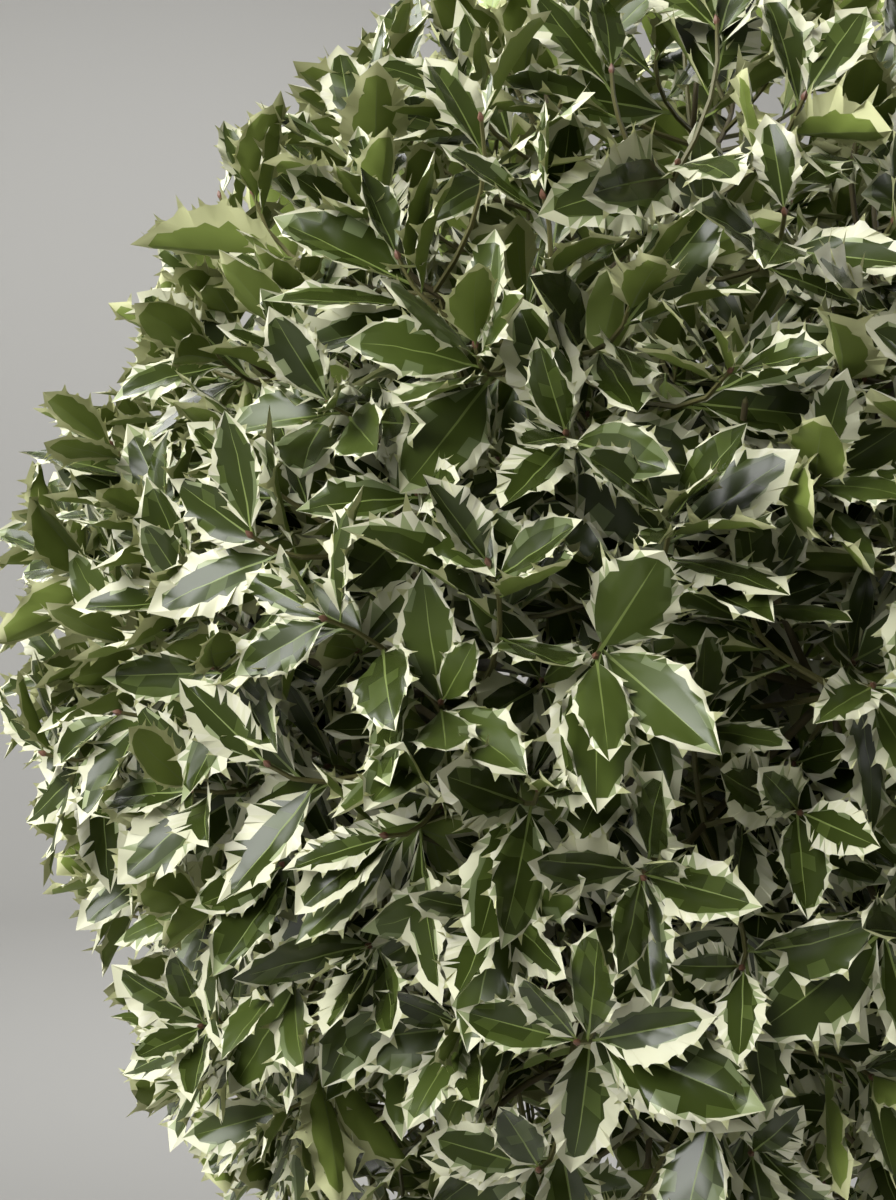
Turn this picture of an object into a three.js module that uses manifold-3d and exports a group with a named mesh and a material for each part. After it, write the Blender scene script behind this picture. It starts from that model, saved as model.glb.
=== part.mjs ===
// A standard holly tree: a clear stem with a root flare, boughs in three tiers and a rounded head of
// silver-margined foliage. Millimetres, +Z up. The origin is the centre of the flat cut at ground level.
//
// The head is shared out among masses of foliage. Each mass keeps to a space of its own: a cone from the
// head's centre, cut off at the head's outline. In it one stem carries on from a bough's tip and branches
// into twigs, each twig makes for its own point of an even lattice on the outline, and leaves stand on
// the twig's three sides in turn. A leaf that would leave the space, touch a limb or cross another leaf
// or twig tries another side and lean, and is left out when none fits.
import * as THREE from "three";
import { mergeVertices } from "three/addons/utils/BufferGeometryUtils.js";
import Module from "manifold-3d";

const wasm = await Module();
wasm.setup();

// ---------------------------------------------------------------- driving dimensions
const HEAD = { centre: new THREE.Vector3(0, 0, 1355), radius: 420, halfHeight: 445 };
const TRUNK = {
  top: new THREE.Vector3(6, -4, 1540),
  bow: new THREE.Vector3(-26, 16, 950), // pulls the stem out of line on its way up
  plumbTo: 450, // the stem leaves the ground plumb, towards this height
  footRadius: 23,
  tipRadius: 7.5,
  fullness: 2.2, // above 1 the stem keeps its girth up to the head and thins inside it
  flare: 20, // extra radius at the ground
  flareHeight: 55,
  rootLobes: 5,
  lobeDepth: 0.2,
  sides: 20,
  steps: 12,
  crowding: 1.7, // draws the steps together near the ground
};
// Each tier is a ring of boughs with a mass on each. elevation, firstTurn and rise are in degrees;
// leaves gives the height where each bough leaves the trunk, reach the share of the outline its mass
// fills, and entry the share at which the bough hands over to the mass's stem.
const TIERS = [
  {
    name: "upper",
    elevation: 42,
    firstTurn: 174,
    leaves: [1335, 1395, 1350, 1410, 1370],
    reach: [0.97, 1.0, 0.98, 1.02, 0.99],
    radius: 6,
    rise: 52,
    entry: 0.46,
  },
  {
    name: "middle",
    elevation: -6,
    firstTurn: 180,
    leaves: [1180, 1235, 1200, 1255, 1170, 1220, 1270],
    reach: [1.02, 0.98, 1.01, 0.99, 1.02, 0.98, 1.0],
    radius: 7,
    rise: 46,
    entry: 0.5,
  },
  {
    name: "lower",
    elevation: -50,
    firstTurn: 190,
    leaves: [1020, 1070, 1035, 1085, 1050],
    reach: [1.04, 0.99, 1.02, 0.98, 1.01],
    radius: 7,
    rise: 30,
    entry: 0.6,
  },
];
const BOUGH = { tipRadius: 4.6, collar: 0.3, collarEnd: 9, bend: 0.5, sides: 6, steps: 4 };
const STEM = { endRadius: 3.4, end: 0.72, bend: 0.4, sides: 5, steps: 3 };
const TWIG = {
  startRadius: 2.4,
  endRadius: 2.2,
  sides: 3,
  steps: 2,
  lift: 0.4, // how far its tip turns up
  bend: 0.42,
  leaveSpread: 1.15, // twigs that aim further aside leave the stem sooner,
  firstLeave: 0.22, // between these shares of it
  lastLeave: 0.96,
  leafRoom: 0.74, // share of a leaf's reach left between its tip and the head's outline
  depthSpread: 0.04,
};
const TWIG_COUNT = 112; // points of the even lattice over the whole head
const LOWEST_TWIG = -72; // degrees: nothing grows straight down beside the trunk
const LEAF = {
  length: 122,
  width: 70,
  thick: 2.6,
  fold: 9, // how far the edges stand above the midrib
  droop: 9, // how far the tip hangs below it
  bellyAt: 0.46,
  ridgeAt: 0.3,
  sunk: 0.2, // how far the root lies past the twig's centre line
  perTwig: 6,
  firstAt: 0.3, // shares of the twig where its first and last leaves stand
  lastAt: 0.98,
  lean: { first: 82, last: 42 }, // degrees out from the twig
  aside: 0.5, // radians, how far apart leaves on one side of the twig may face
  rolled: 0.5, // radians, most to least
  largest: 1.05,
  smallest: 0.86,
};
const TRIES = { count: 20, lean: 3.5, shrink: 0.985 };
const SEAT_GAP = 0.3; // between a bough and the trunk, and between a stem and its bough
const SHORTEST_EDGE = 0.02; // left by a join or cut
const NARROWEST_SHARE = 1e-6; // at which the search for a height along the trunk ends
const LIMB_CLEARANCE = 1.2;
const SPACE_CLEARANCE = 1.5;
const SEED = 20731;

const GOLDEN_ANGLE = Math.PI * (3 - Math.sqrt(5));
const THIRD_OF_A_TURN = (2 * Math.PI) / 3;
const FRAME_STEPS = 24;
const UP = new THREE.Vector3(0, 0, 1);
const { degToRad, lerp, clamp } = THREE.MathUtils;
const bark = new THREE.MeshStandardMaterial({ color: 0x7d7767, roughness: 0.85, metalness: 0 });
const foliage = new THREE.MeshStandardMaterial({ color: 0x5f7242, roughness: 0.4, metalness: 0 });

// ---------------------------------------------------------------- small helpers
// A number from 0 to 1 that depends only on the seed and the keys.
function chance(...keys) {
  let hash = SEED;
  for (const key of keys) {
    hash = Math.imul(hash ^ (key + 0x9e3779b9), 0x85ebca6b);
    hash ^= hash >>> 13;
    hash = Math.imul(hash, 0xc2b2ae35);
    hash ^= hash >>> 16;
  }
  return (hash >>> 0) / 2 ** 32;
}

function directionOf(elevation, turn) {
  const flat = Math.cos(degToRad(elevation));
  const angle = degToRad(turn);
  return new THREE.Vector3(
    flat * Math.cos(angle),
    flat * Math.sin(angle),
    Math.sin(degToRad(elevation)),
  );
}

// How far out a point measured from the head's centre lies, with 1 on the head's outline.
function levelOf(arm) {
  return Math.hypot(arm.x / HEAD.radius, arm.y / HEAD.radius, arm.z / HEAD.halfHeight);
}

function headPoint(direction, level) {
  return HEAD.centre.clone().addScaledVector(direction, level / levelOf(direction));
}

// ---------------------------------------------------------------- solids and meshes
function solidOf(geometry) {
  const bare = geometry.clone();
  bare.deleteAttribute("normal");
  bare.deleteAttribute("uv");
  const merged = mergeVertices(bare);
  return new wasm.Manifold(
    new wasm.Mesh({
      numProp: 3,
      vertProperties: merged.attributes.position.array,
      triVerts: new Uint32Array(merged.index.array),
    }),
  );
}

function neighboursOf(triangles, corner) {
  return new Set(triangles.filter((triangle) => triangle.includes(corner)).flat());
}

// Closes up an edge shorter than SHORTEST_EDGE, unless that would pinch the surface, and returns the
// triangles that are left, or nothing if there is no such edge.
function closeShortEdge(triangles, length) {
  for (const [i, j, k] of triangles) {
    for (const [a, b] of [[i, j], [j, k], [k, i]]) {
      if (length(a, b) > SHORTEST_EDGE) continue;
      const shared = neighboursOf(triangles, a).intersection(neighboursOf(triangles, b));
      if (shared.size > 4) continue; // the edge's own two ends, and the corners on its two sides
      const moved = triangles.map((triangle) => triangle.map((corner) => (corner === b ? a : corner)));
      return moved.filter((triangle) => new Set(triangle).size === 3);
    }
  }
  return null;
}

// The solid's surface, without the short edges that a join or cut leaves.
function geometryOf(solid) {
  const { vertProperties, triVerts } = solid.getMesh();
  const places = new THREE.BufferAttribute(vertProperties, 3);
  const corner = (i) => new THREE.Vector3().fromBufferAttribute(places, i);
  const length = (a, b) => corner(a).distanceTo(corner(b));
  let triangles = Array.from({ length: triVerts.length / 3 }, (_, i) => [
    ...triVerts.subarray(3 * i, 3 * i + 3),
  ]);
  for (let next = triangles; next; next = closeShortEdge(triangles, length)) triangles = next;
  const geometry = new THREE.BufferGeometry();
  geometry.setAttribute("position", places);
  geometry.setIndex(triangles.flat());
  return geometry;
}

function meshOf(name, solid, material) {
  const geometry = geometryOf(solid);
  geometry.computeVertexNormals();
  const mesh = new THREE.Mesh(geometry, material);
  mesh.name = name;
  return mesh;
}

function largestPiece(solid) {
  return solid.decompose().sort((a, b) => b.volume() - a.volume())[0];
}

const touches = (a, b) => a.intersect(b).volume() > 0;

// The directions square to a curve at a share of its length: ahead, and two to its sides.
function frameAt(curve, share) {
  const step = Math.round(share * FRAME_STEPS);
  const { tangents, normals, binormals } = curve.computeFrenetFrames(FRAME_STEPS, false);
  return { ahead: tangents[step], normal: normals[step], binormal: binormals[step] };
}

// The point at a share of a limb's centre line, which runs straight from step to step.
function axisPoint(curve, share, steps) {
  const step = Math.min(Math.floor(share * steps), steps - 1);
  const next = curve.getPointAt((step + 1) / steps);
  return curve.getPointAt(step / steps).lerp(next, share * steps - step);
}

// A capped cylinder bent along a curve. radiusAt(share, angle) gives its radius there.
function limb(curve, radiusAt, { sides, steps, crowding = 1 }) {
  const geometry = new THREE.CylinderGeometry(1, 1, 1, sides, steps);
  const places = geometry.attributes.position;
  for (let i = 0; i < places.count; i++) {
    const share = (Math.round((places.getY(i) + 0.5) * steps) / steps) ** crowding;
    const across = places.getX(i);
    const beside = places.getZ(i);
    const radius = radiusAt(share, Math.atan2(beside, across));
    const { normal, binormal } = frameAt(curve, share);
    const place = curve
      .getPointAt(share)
      .addScaledVector(normal, -across * radius)
      .addScaledVector(binormal, beside * radius);
    places.setXYZ(i, place.x, place.y, place.z);
  }
  return solidOf(geometry);
}

// ---------------------------------------------------------------- trunk
const trunkLine = new THREE.CubicBezierCurve3(
  new THREE.Vector3(0, 0, 0),
  new THREE.Vector3(0, 0, TRUNK.plumbTo),
  TRUNK.bow,
  TRUNK.top,
);

function trunkRadius(share, angle) {
  const swell = Math.exp(-trunkLine.getPoint(share).z / TRUNK.flareHeight);
  const lobe = 1 + TRUNK.lobeDepth * swell * Math.cos(TRUNK.rootLobes * angle);
  const taper = lerp(TRUNK.footRadius, TRUNK.tipRadius, share ** TRUNK.fullness);
  return (taper + TRUNK.flare * swell) * lobe;
}

function trunk(extra = 0) {
  return limb(trunkLine, (share, angle) => trunkRadius(share, angle) + extra, TRUNK);
}

// The point of the trunk's centre line at this height, found by halving.
function trunkAt(height) {
  let low = 0;
  let high = 1;
  while (high - low > NARROWEST_SHARE) {
    const middle = (low + high) / 2;
    if (trunkLine.getPoint(middle).z < height) low = middle;
    else high = middle;
  }
  return trunkLine.getPoint(low);
}

// ---------------------------------------------------------------- boughs and the masses' spaces
// A bough and its mass: the tier's ring, turned to this bough's place on it.
function branchOf(tier, i) {
  const turn = tier.firstTurn + (360 * i) / tier.leaves.length;
  const direction = directionOf(tier.elevation, turn);
  const start = trunkAt(tier.leaves[i]);
  const end = headPoint(direction, tier.entry);
  const bend = directionOf(tier.rise, turn)
    .multiplyScalar(start.distanceTo(end) * BOUGH.bend)
    .add(start);
  return {
    name: `${tier.name}_${i + 1}`,
    direction,
    reach: tier.reach[i],
    bough: new THREE.QuadraticBezierCurve3(start, bend, end),
    radius: tier.radius,
  };
}

const branches = TIERS.flatMap((tier) => tier.leaves.map((_, i) => branchOf(tier, i)));
const masses = [...branches, { name: "top", direction: UP, reach: 1 }];

function bough(branch, extra = 0) {
  const radiusAt = (share) => {
    const collar = 1 + BOUGH.collar * Math.exp(-share * BOUGH.collarEnd);
    return lerp(branch.radius, BOUGH.tipRadius, share) * collar + extra;
  };
  return limb(branch.bough, radiusAt, BOUGH);
}

// True if a point lies in the mass's own space, clear of its neighbours'.
function inSpace(mass, point) {
  const arm = point.clone().sub(HEAD.centre);
  if (levelOf(arm) > mass.reach) return false;
  return masses.every((other) => {
    const towards = mass.direction.clone().sub(other.direction).normalize();
    return other === mass || arm.dot(towards) >= SPACE_CLEARANCE;
  });
}

// ---------------------------------------------------------------- stems and twigs
// The mass's stem carries on from the bough's tip, or from the trunk's.
function stemOf(mass) {
  const carrier = mass.bough ?? trunkLine;
  const along = carrier.getTangent(1);
  const start = carrier.getPoint(1).addScaledVector(along, SEAT_GAP);
  const end = headPoint(mass.direction, mass.reach * STEM.end);
  const bend = start.clone().addScaledVector(along, start.distanceTo(end) * STEM.bend);
  const line = new THREE.QuadraticBezierCurve3(start, bend, end);
  const startRadius = mass.bough ? BOUGH.tipRadius : TRUNK.tipRadius;
  const solid = limb(line, (share) => lerp(startRadius, STEM.endRadius, share), STEM);
  return { line, solid };
}

// The lattice's direction of this number, one of TWIG_COUNT spread evenly over a ball.
function latticeDirection(i) {
  const height = 1 - (2 * (i + 0.5)) / TWIG_COUNT;
  const flat = Math.sqrt(1 - height * height);
  const turn = GOLDEN_ANGLE * i;
  return new THREE.Vector3(flat * Math.cos(turn), flat * Math.sin(turn), height);
}

function nearestMass(direction) {
  return masses.reduce((best, mass) =>
    mass.direction.dot(direction) > best.direction.dot(direction) ? mass : best,
  );
}

// A twig leaves the stem further out the closer it aims to the mass's own direction.
function twigOf(mass, stem, direction, key) {
  const aside = direction.angleTo(mass.direction);
  const leave = clamp(1 - aside * TWIG.leaveSpread, TWIG.firstLeave, TWIG.lastLeave);
  const start = stem.line.getPoint(leave);
  const leafReach = (LEAF.length * Math.cos(degToRad(LEAF.lean.last))) / HEAD.radius;
  const level = mass.reach - TWIG.leafRoom * leafReach - TWIG.depthSpread * chance(1, key);
  const end = headPoint(direction, level);
  const back = direction
    .clone()
    .addScaledVector(UP, TWIG.lift)
    .setLength(start.distanceTo(end) * TWIG.bend);
  const line = new THREE.QuadraticBezierCurve3(start, end.clone().sub(back), end);
  const solid = limb(line, (share) => lerp(TWIG.startRadius, TWIG.endRadius, share), TWIG);
  return { line, solid, key };
}

// ---------------------------------------------------------------- leaves
const LEAF_FACES = [
  [0, 4, 1],
  [1, 4, 2],
  [2, 4, 3],
  [3, 4, 0],
  [0, 1, 5],
  [1, 2, 5],
  [2, 3, 5],
  [3, 0, 5],
];

// A folded kite, thickest at its ridge. along runs to its tip and face out of its upper side.
function leafCorners(root, along, face, size) {
  const across = new THREE.Vector3().crossVectors(face, along);
  const at = (x, y, z) =>
    root.clone().addScaledVector(along, x).addScaledVector(across, y).addScaledVector(face, z);
  const length = LEAF.length * size;
  const half = (LEAF.width * size) / 2;
  return [
    at(-LEAF.sunk, 0, 0),
    at(length * LEAF.bellyAt, half, LEAF.fold),
    at(length, 0, -LEAF.droop),
    at(length * LEAF.bellyAt, -half, LEAF.fold),
    at(length * LEAF.ridgeAt, 0, LEAF.thick / 2),
    at(length * LEAF.ridgeAt, 0, -LEAF.thick / 2),
  ];
}

function leafSolid(corners) {
  const geometry = new THREE.BufferGeometry().setFromPoints(corners);
  geometry.setIndex(LEAF_FACES.flat());
  return solidOf(geometry);
}

// The corners of leaf j of a twig at one try: it leans out from the twig, with its upper side
// looking back at the twig's tip.
function leafTry(twig, j, attempt) {
  const share = lerp(LEAF.firstAt, LEAF.lastAt, Math.sqrt(j / (LEAF.perTwig - 1)));
  const { ahead, binormal } = frameAt(twig.line, share);
  const turn = THIRD_OF_A_TURN * (j + attempt) + LEAF.aside * (chance(2, twig.key, j) - 0.5);
  const side = binormal.clone().negate().applyAxisAngle(ahead, turn);
  const lean = degToRad(lerp(LEAF.lean.first, LEAF.lean.last, share) + TRIES.lean * attempt);
  const along = ahead.clone().multiplyScalar(Math.cos(lean)).addScaledVector(side, Math.sin(lean));
  const face = ahead.clone().multiplyScalar(Math.sin(lean)).addScaledVector(side, -Math.cos(lean));
  face.applyAxisAngle(along, LEAF.rolled * (chance(3, twig.key, j) - 0.5));
  const size = lerp(LEAF.smallest, LEAF.largest, chance(4, twig.key, j));
  const root = axisPoint(twig.line, share, TWIG.steps);
  return leafCorners(root, along, face, size * TRIES.shrink ** attempt);
}

// Adds the twig's leaves that fit, clear of everything in obstacles and of each other.
function leavesOf(mass, twig, obstacles) {
  const added = [];
  for (let j = 0; j < LEAF.perTwig; j++) {
    for (let attempt = 0; attempt < TRIES.count; attempt++) {
      const corners = leafTry(twig, j, attempt);
      if (!corners.slice(1).every((corner) => inSpace(mass, corner))) continue;
      const leaf = leafSolid(corners);
      if ([...obstacles, ...added].some((other) => touches(leaf, other))) continue;
      added.push(leaf);
      break;
    }
  }
  return added;
}

// ---------------------------------------------------------------- a mass of foliage
// One stem, the twigs that fit in the mass's space, and the leaves, which stand on the twigs alone.
function massOf(mass, limbs) {
  const stem = stemOf(mass);
  const twigs = [];
  for (let i = 0; i < TWIG_COUNT; i++) {
    const direction = latticeDirection(i);
    if (direction.z < Math.sin(degToRad(LOWEST_TWIG)) || nearestMass(direction) !== mass) continue;
    const twig = twigOf(mass, stem, direction, i);
    const inside = twig.line.getPoints(TWIG.steps * 2).every((point) => inSpace(mass, point));
    if (inside && !touches(twig.solid, limbs)) twigs.push(twig);
  }
  const wood = [stem, ...twigs].map((piece) => piece.solid);
  const leaves = [];
  for (const twig of twigs) {
    const others = wood.filter((solid) => solid !== twig.solid);
    leaves.push(...leavesOf(mass, twig, [limbs, ...others, ...leaves]));
  }
  return largestPiece(wasm.Manifold.union([...wood, ...leaves]));
}

// ---------------------------------------------------------------- assembly
const tree = new THREE.Group();
tree.add(meshOf("trunk", trunk(), bark));
const trunkWithGap = trunk(SEAT_GAP);
for (const branch of branches) {
  const cut = largestPiece(bough(branch).subtract(trunkWithGap));
  tree.add(meshOf(`bough_${branch.name}`, cut, bark));
}
const limbs = wasm.Manifold.union([
  trunk(LIMB_CLEARANCE),
  ...branches.map((branch) => bough(branch, LIMB_CLEARANCE)),
]);
for (const mass of masses) {
  tree.add(meshOf(`foliage_${mass.name}`, massOf(mass, limbs), foliage));
}

export default tree;
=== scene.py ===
"""A standard holly tree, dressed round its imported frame.

The trunk and boughs get their bark. Each mass of the head is grown again by the rule of its solids, one
stem from the bough's tip and twigs that each make for a point of an even lattice, and the rule is carried
on to the shoots that branch from those twigs and to the spiny, cream-edged leaves that close each shoot.

Metres, +Z up, -Y towards the viewer of the front view. The origin is the middle of the foot.
"""

import logging
import math
from collections.abc import Iterable, Sequence
from dataclasses import dataclass, field, replace
from enum import Enum, IntEnum, auto
from itertools import pairwise, product

import bpy
import numpy as np
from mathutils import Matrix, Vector


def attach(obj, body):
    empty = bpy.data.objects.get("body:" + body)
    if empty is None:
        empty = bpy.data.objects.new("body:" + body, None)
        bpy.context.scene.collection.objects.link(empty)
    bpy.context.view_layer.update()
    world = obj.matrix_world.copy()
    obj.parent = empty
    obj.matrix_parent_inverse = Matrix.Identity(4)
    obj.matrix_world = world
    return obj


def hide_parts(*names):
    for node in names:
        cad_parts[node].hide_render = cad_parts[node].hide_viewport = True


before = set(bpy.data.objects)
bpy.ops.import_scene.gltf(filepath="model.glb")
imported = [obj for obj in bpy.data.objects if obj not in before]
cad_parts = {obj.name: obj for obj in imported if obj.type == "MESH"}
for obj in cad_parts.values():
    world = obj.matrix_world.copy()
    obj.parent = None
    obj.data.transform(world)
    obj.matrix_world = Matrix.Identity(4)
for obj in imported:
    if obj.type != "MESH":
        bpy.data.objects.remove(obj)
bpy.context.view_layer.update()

LOG = logging.getLogger("holly")

MM = 0.001
SEED = 20731
# The 32 bits of a word, and the odd numbers and shifts that mix them.
WORD = 0xFFFFFFFF
KEY_STEP, MIXERS = 0x9E3779B9, ((0x85EBCA6B, 13), (0xC2B2AE35, 16))
GOLDEN_ANGLE = math.pi * (3 - math.sqrt(5))
UP = np.array((0.0, 0.0, 1.0))
LENGTH_POINTS, FINE_POINTS = 65, 4001
BODY = "root"

Tree, Node, Socket = bpy.types.NodeTree, bpy.types.Node, bpy.types.NodeSocket
Thing, Material = bpy.types.Object, bpy.types.Material
Span = tuple[float, float]


class Deal(IntEnum):
    """What a number is dealt for, so that each use has draws of its own."""

    TWIG_DEPTH = 1
    CUT = 10
    MARKS = 11
    LOBE = 31
    OUTER_SHOOT = 41
    INNER_SHOOT = 43
    FIRST_TURN = 51
    TURN = 52
    LEAN = 53
    ROLL = 54
    LENGTH = 55
    BLADE = 56
    HABIT = 57
    YOUNG = 58
    LIGHT = 59
    CLOSED = 60
    HOLLOW_WAY = 61
    HOLLOW_START = 62


# ---------------------------------------------------------------- small helpers
def chance(*keys: int) -> float:
    """Deal a number that depends only on the seed and the keys.

    Args:
        keys: Whole numbers that name what the number is for.

    Returns:
        A number from 0 up to 1.
    """
    value = SEED
    for key in keys:
        value ^= key + KEY_STEP & WORD
        for factor, shift in MIXERS:
            value = value * factor & WORD
            value ^= value >> shift
    return value / 2**32


def strays(*keys: int) -> np.ndarray:
    """Return a vector dealt by chance, each part from -1 to 1."""
    return np.array([chance(*keys, part) * 2 - 1 for part in range(3)])


def lerp(first: float, last: float, share: float) -> float:
    """Return the number at this share of the way from first to last."""
    return first + (last - first) * share


def unit(vector: np.ndarray) -> np.ndarray:
    """Return the vector, or each vector of a list, at length 1."""
    return vector / np.linalg.norm(vector, axis=-1, keepdims=True)


def direction_of(elevation: float, turn: float) -> np.ndarray:
    """Find a direction.

    Args:
        elevation: Above the level, in degrees.
        turn: About +Z from +X, in degrees.

    Returns:
        The direction, at length 1.
    """
    high, round_z = math.radians(elevation), math.radians(turn)
    flat = math.cos(high)
    return np.array((flat * math.cos(round_z), flat * math.sin(round_z), math.sin(high)))


def turned(vector: np.ndarray, axis: np.ndarray, angle: float) -> np.ndarray:
    """Return the vector turned about a unit axis by an angle in radians."""
    along = axis * (vector @ axis)
    return along + (vector - along) * math.cos(angle) + np.cross(axis, vector) * math.sin(angle)


def lattice(count: int) -> np.ndarray:
    """Spread directions evenly over a ball.

    Args:
        count: How many directions.

    Returns:
        The directions, from the top down, one a row.
    """
    number = np.arange(count)
    height = 1 - 2 * (number + 0.5) / count
    flat = np.sqrt(1 - height**2)
    turn = GOLDEN_ANGLE * number
    return np.stack((flat * np.cos(turn), flat * np.sin(turn), height), axis=1)


@dataclass(frozen=True)
class Curve:
    """A Bezier centre line.

    Attributes:
        guides: Three or four guide points, from the line's start to its end.
    """

    guides: tuple[np.ndarray, ...]

    def at(self, share: float | np.ndarray) -> np.ndarray:
        """Find the point at a share of the line.

        Args:
            share: From 0 at its start to 1 at its end, or an array of them.

        Returns:
            The point, or a row for each share.
        """
        weight = np.asarray(share, float)[..., None]
        points = list(self.guides)
        while len(points) > 1:
            points = [a + (b - a) * weight for a, b in pairwise(points)]
        return points[0]

    def heading(self, share: float) -> np.ndarray:
        """Return the direction in which the line runs at a share of it."""
        steps = tuple(b - a for a, b in pairwise(self.guides))
        return unit(Curve(steps).at(share))

    def length(self) -> float:
        """Return the line's length."""
        points = self.at(np.linspace(0, 1, LENGTH_POINTS))
        return float(np.linalg.norm(np.diff(points, axis=0), axis=1).sum())

    def before(self, share: float) -> "Curve":
        """Cut the line off.

        Args:
            share: Of the line that stays, from its start.

        Returns:
            That part of it.
        """
        firsts, points = [], list(self.guides)
        while points:
            firsts.append(points[0])
            points = [a + (b - a) * share for a, b in pairwise(points)]
        return Curve(tuple(firsts))

    def as_cubic(self) -> tuple[np.ndarray, ...]:
        """Raise the line to a cubic.

        Returns:
            The four guide points of the same line.
        """
        if len(self.guides) == 4:
            return self.guides
        start, bend, end = self.guides
        return start, start + (bend - start) * 2 / 3, end + (bend - end) * 2 / 3, end


# ---------------------------------------------------------------- the tree's rule
@dataclass(frozen=True)
class Head:
    """The rounded outline that the crown fills."""

    centre: np.ndarray = field(default_factory=lambda: np.array((0.0, 0.0, 1.355)))
    radius: float = 0.420
    half_height: float = 0.445

    def level_of(self, arm: np.ndarray) -> np.ndarray:
        """Return how far out a point measured from the centre lies, with 1 on the outline."""
        return np.linalg.norm(arm / (self.radius, self.radius, self.half_height), axis=-1)

    def point(self, direction: np.ndarray, level: float) -> np.ndarray:
        """Return the point at this level in a direction from the centre."""
        return self.centre + direction * level / self.level_of(direction)


@dataclass(frozen=True)
class Tier:
    """A ring of boughs. Angles are in degrees.

    Attributes:
        name: The ring's name, which the names of its boughs and masses start with.
        elevation: Of the boughs' masses, seen from the head's centre.
        first_turn: Of the ring's first bough.
        leaves: The heights at which the boughs leave the trunk.
        reach: The shares of the head's outline that the masses fill.
        radius: Of a bough where it leaves.
        rise: How steeply a bough sets out.
        entry: The share of the head at which a bough hands over to its mass.
    """

    name: str
    elevation: float
    first_turn: float
    leaves: tuple[float, ...]
    reach: tuple[float, ...]
    radius: float
    rise: float
    entry: float


HEAD = Head()
UPPER = Tier(
    name="upper",
    elevation=42,
    first_turn=174,
    leaves=(1.335, 1.395, 1.350, 1.410, 1.370),
    reach=(0.97, 1.0, 0.98, 1.02, 0.99),
    radius=6 * MM,
    rise=52,
    entry=0.46,
)
MIDDLE = Tier(
    name="middle",
    elevation=-6,
    first_turn=180,
    leaves=(1.180, 1.235, 1.200, 1.255, 1.170, 1.220, 1.270),
    reach=(1.02, 0.98, 1.01, 0.99, 1.02, 0.98, 1.0),
    radius=7 * MM,
    rise=46,
    entry=0.5,
)
LOWER = Tier(
    name="lower",
    elevation=-50,
    first_turn=190,
    leaves=(1.020, 1.070, 1.035, 1.085, 1.050),
    reach=(1.04, 0.99, 1.02, 0.98, 1.01),
    radius=7 * MM,
    rise=30,
    entry=0.6,
)
TIERS = (UPPER, MIDDLE, LOWER)


# ---------------------------------------------------------------- finishes
def linear(hex_colour: str) -> tuple[float, float, float, float]:
    """Turn an sRGB hex colour to the linear colour that a shader takes.

    Args:
        hex_colour: The colour, such as "#3f5030".

    Returns:
        Linear red, green and blue, and an alpha of 1.
    """
    parts = (int(hex_colour[i : i + 2], 16) / 255 for i in (1, 3, 5))
    red, green, blue = (p / 12.92 if p <= 0.04045 else ((p + 0.055) / 1.055) ** 2.4 for p in parts)
    return red, green, blue, 1.0


def add_node(tree: Tree, kind: str, inputs: dict | None = None, **settings: object) -> Node:
    """Add a node to a tree.

    Args:
        tree: The node tree.
        kind: The node's type name.
        inputs: For each input's name or number, a value, or the output socket that is linked to it.
        settings: The node's own properties.

    Returns:
        The node.
    """
    node = tree.nodes.new(kind)
    for name, value in settings.items():
        setattr(node, name, value)
    for name, value in (inputs or {}).items():
        if isinstance(value, Socket):
            tree.links.new(value, node.inputs[name])
        else:
            node.inputs[name].default_value = value
    return node


def new_material(name: str) -> tuple[Material, Tree]:
    """Start a material.

    Args:
        name: Its name.

    Returns:
        The material, and its node tree with nothing in it.
    """
    material = bpy.data.materials.new(name)
    material.use_nodes = True
    material.node_tree.nodes.clear()
    return material, material.node_tree


def add_shader(tree: Tree, inputs: dict) -> None:
    """End a material's tree in a Principled shader with these inputs."""
    shader = add_node(tree, "ShaderNodeBsdfPrincipled", inputs)
    add_node(tree, "ShaderNodeOutputMaterial", {"Surface": shader.outputs[0]})


@dataclass(frozen=True)
class Cuticle:
    """A leaf's waxy skin over one tissue, or a green shoot's: an even colour under a clear gloss.

    Attributes:
        name: The material's name.
        colour: sRGB hex.
        roughness: Of the wax.
        gloss: The specular level, 0.5 for wax of the usual index.
        index: Of the wax.
    """

    name: str
    colour: str
    roughness: float
    gloss: float = 0.5
    index: float = 1.45

    def material(self) -> Material:
        """Make the finish. A leaf's pattern is in its faces, so each tissue is plain.

        Returns:
            The material.
        """
        material, tree = new_material(self.name)
        inputs = {
            "Base Color": linear(self.colour),
            "Roughness": self.roughness,
            "Specular IOR Level": self.gloss,
            "IOR": self.index,
        }
        add_shader(tree, inputs)
        return material


class Tissue(IntEnum):
    """What a leaf's faces show. The number is the face's slot on the leaves' mesh."""

    HEART = 0
    FLANK = auto()
    MARBLED = auto()
    FADED = auto()
    MARGIN = auto()
    IVORY = auto()
    RIB = auto()
    UNDERSIDE = auto()
    UNDER_MARGIN = auto()
    YOUNG = auto()
    YOUNG_MARGIN = auto()


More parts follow.
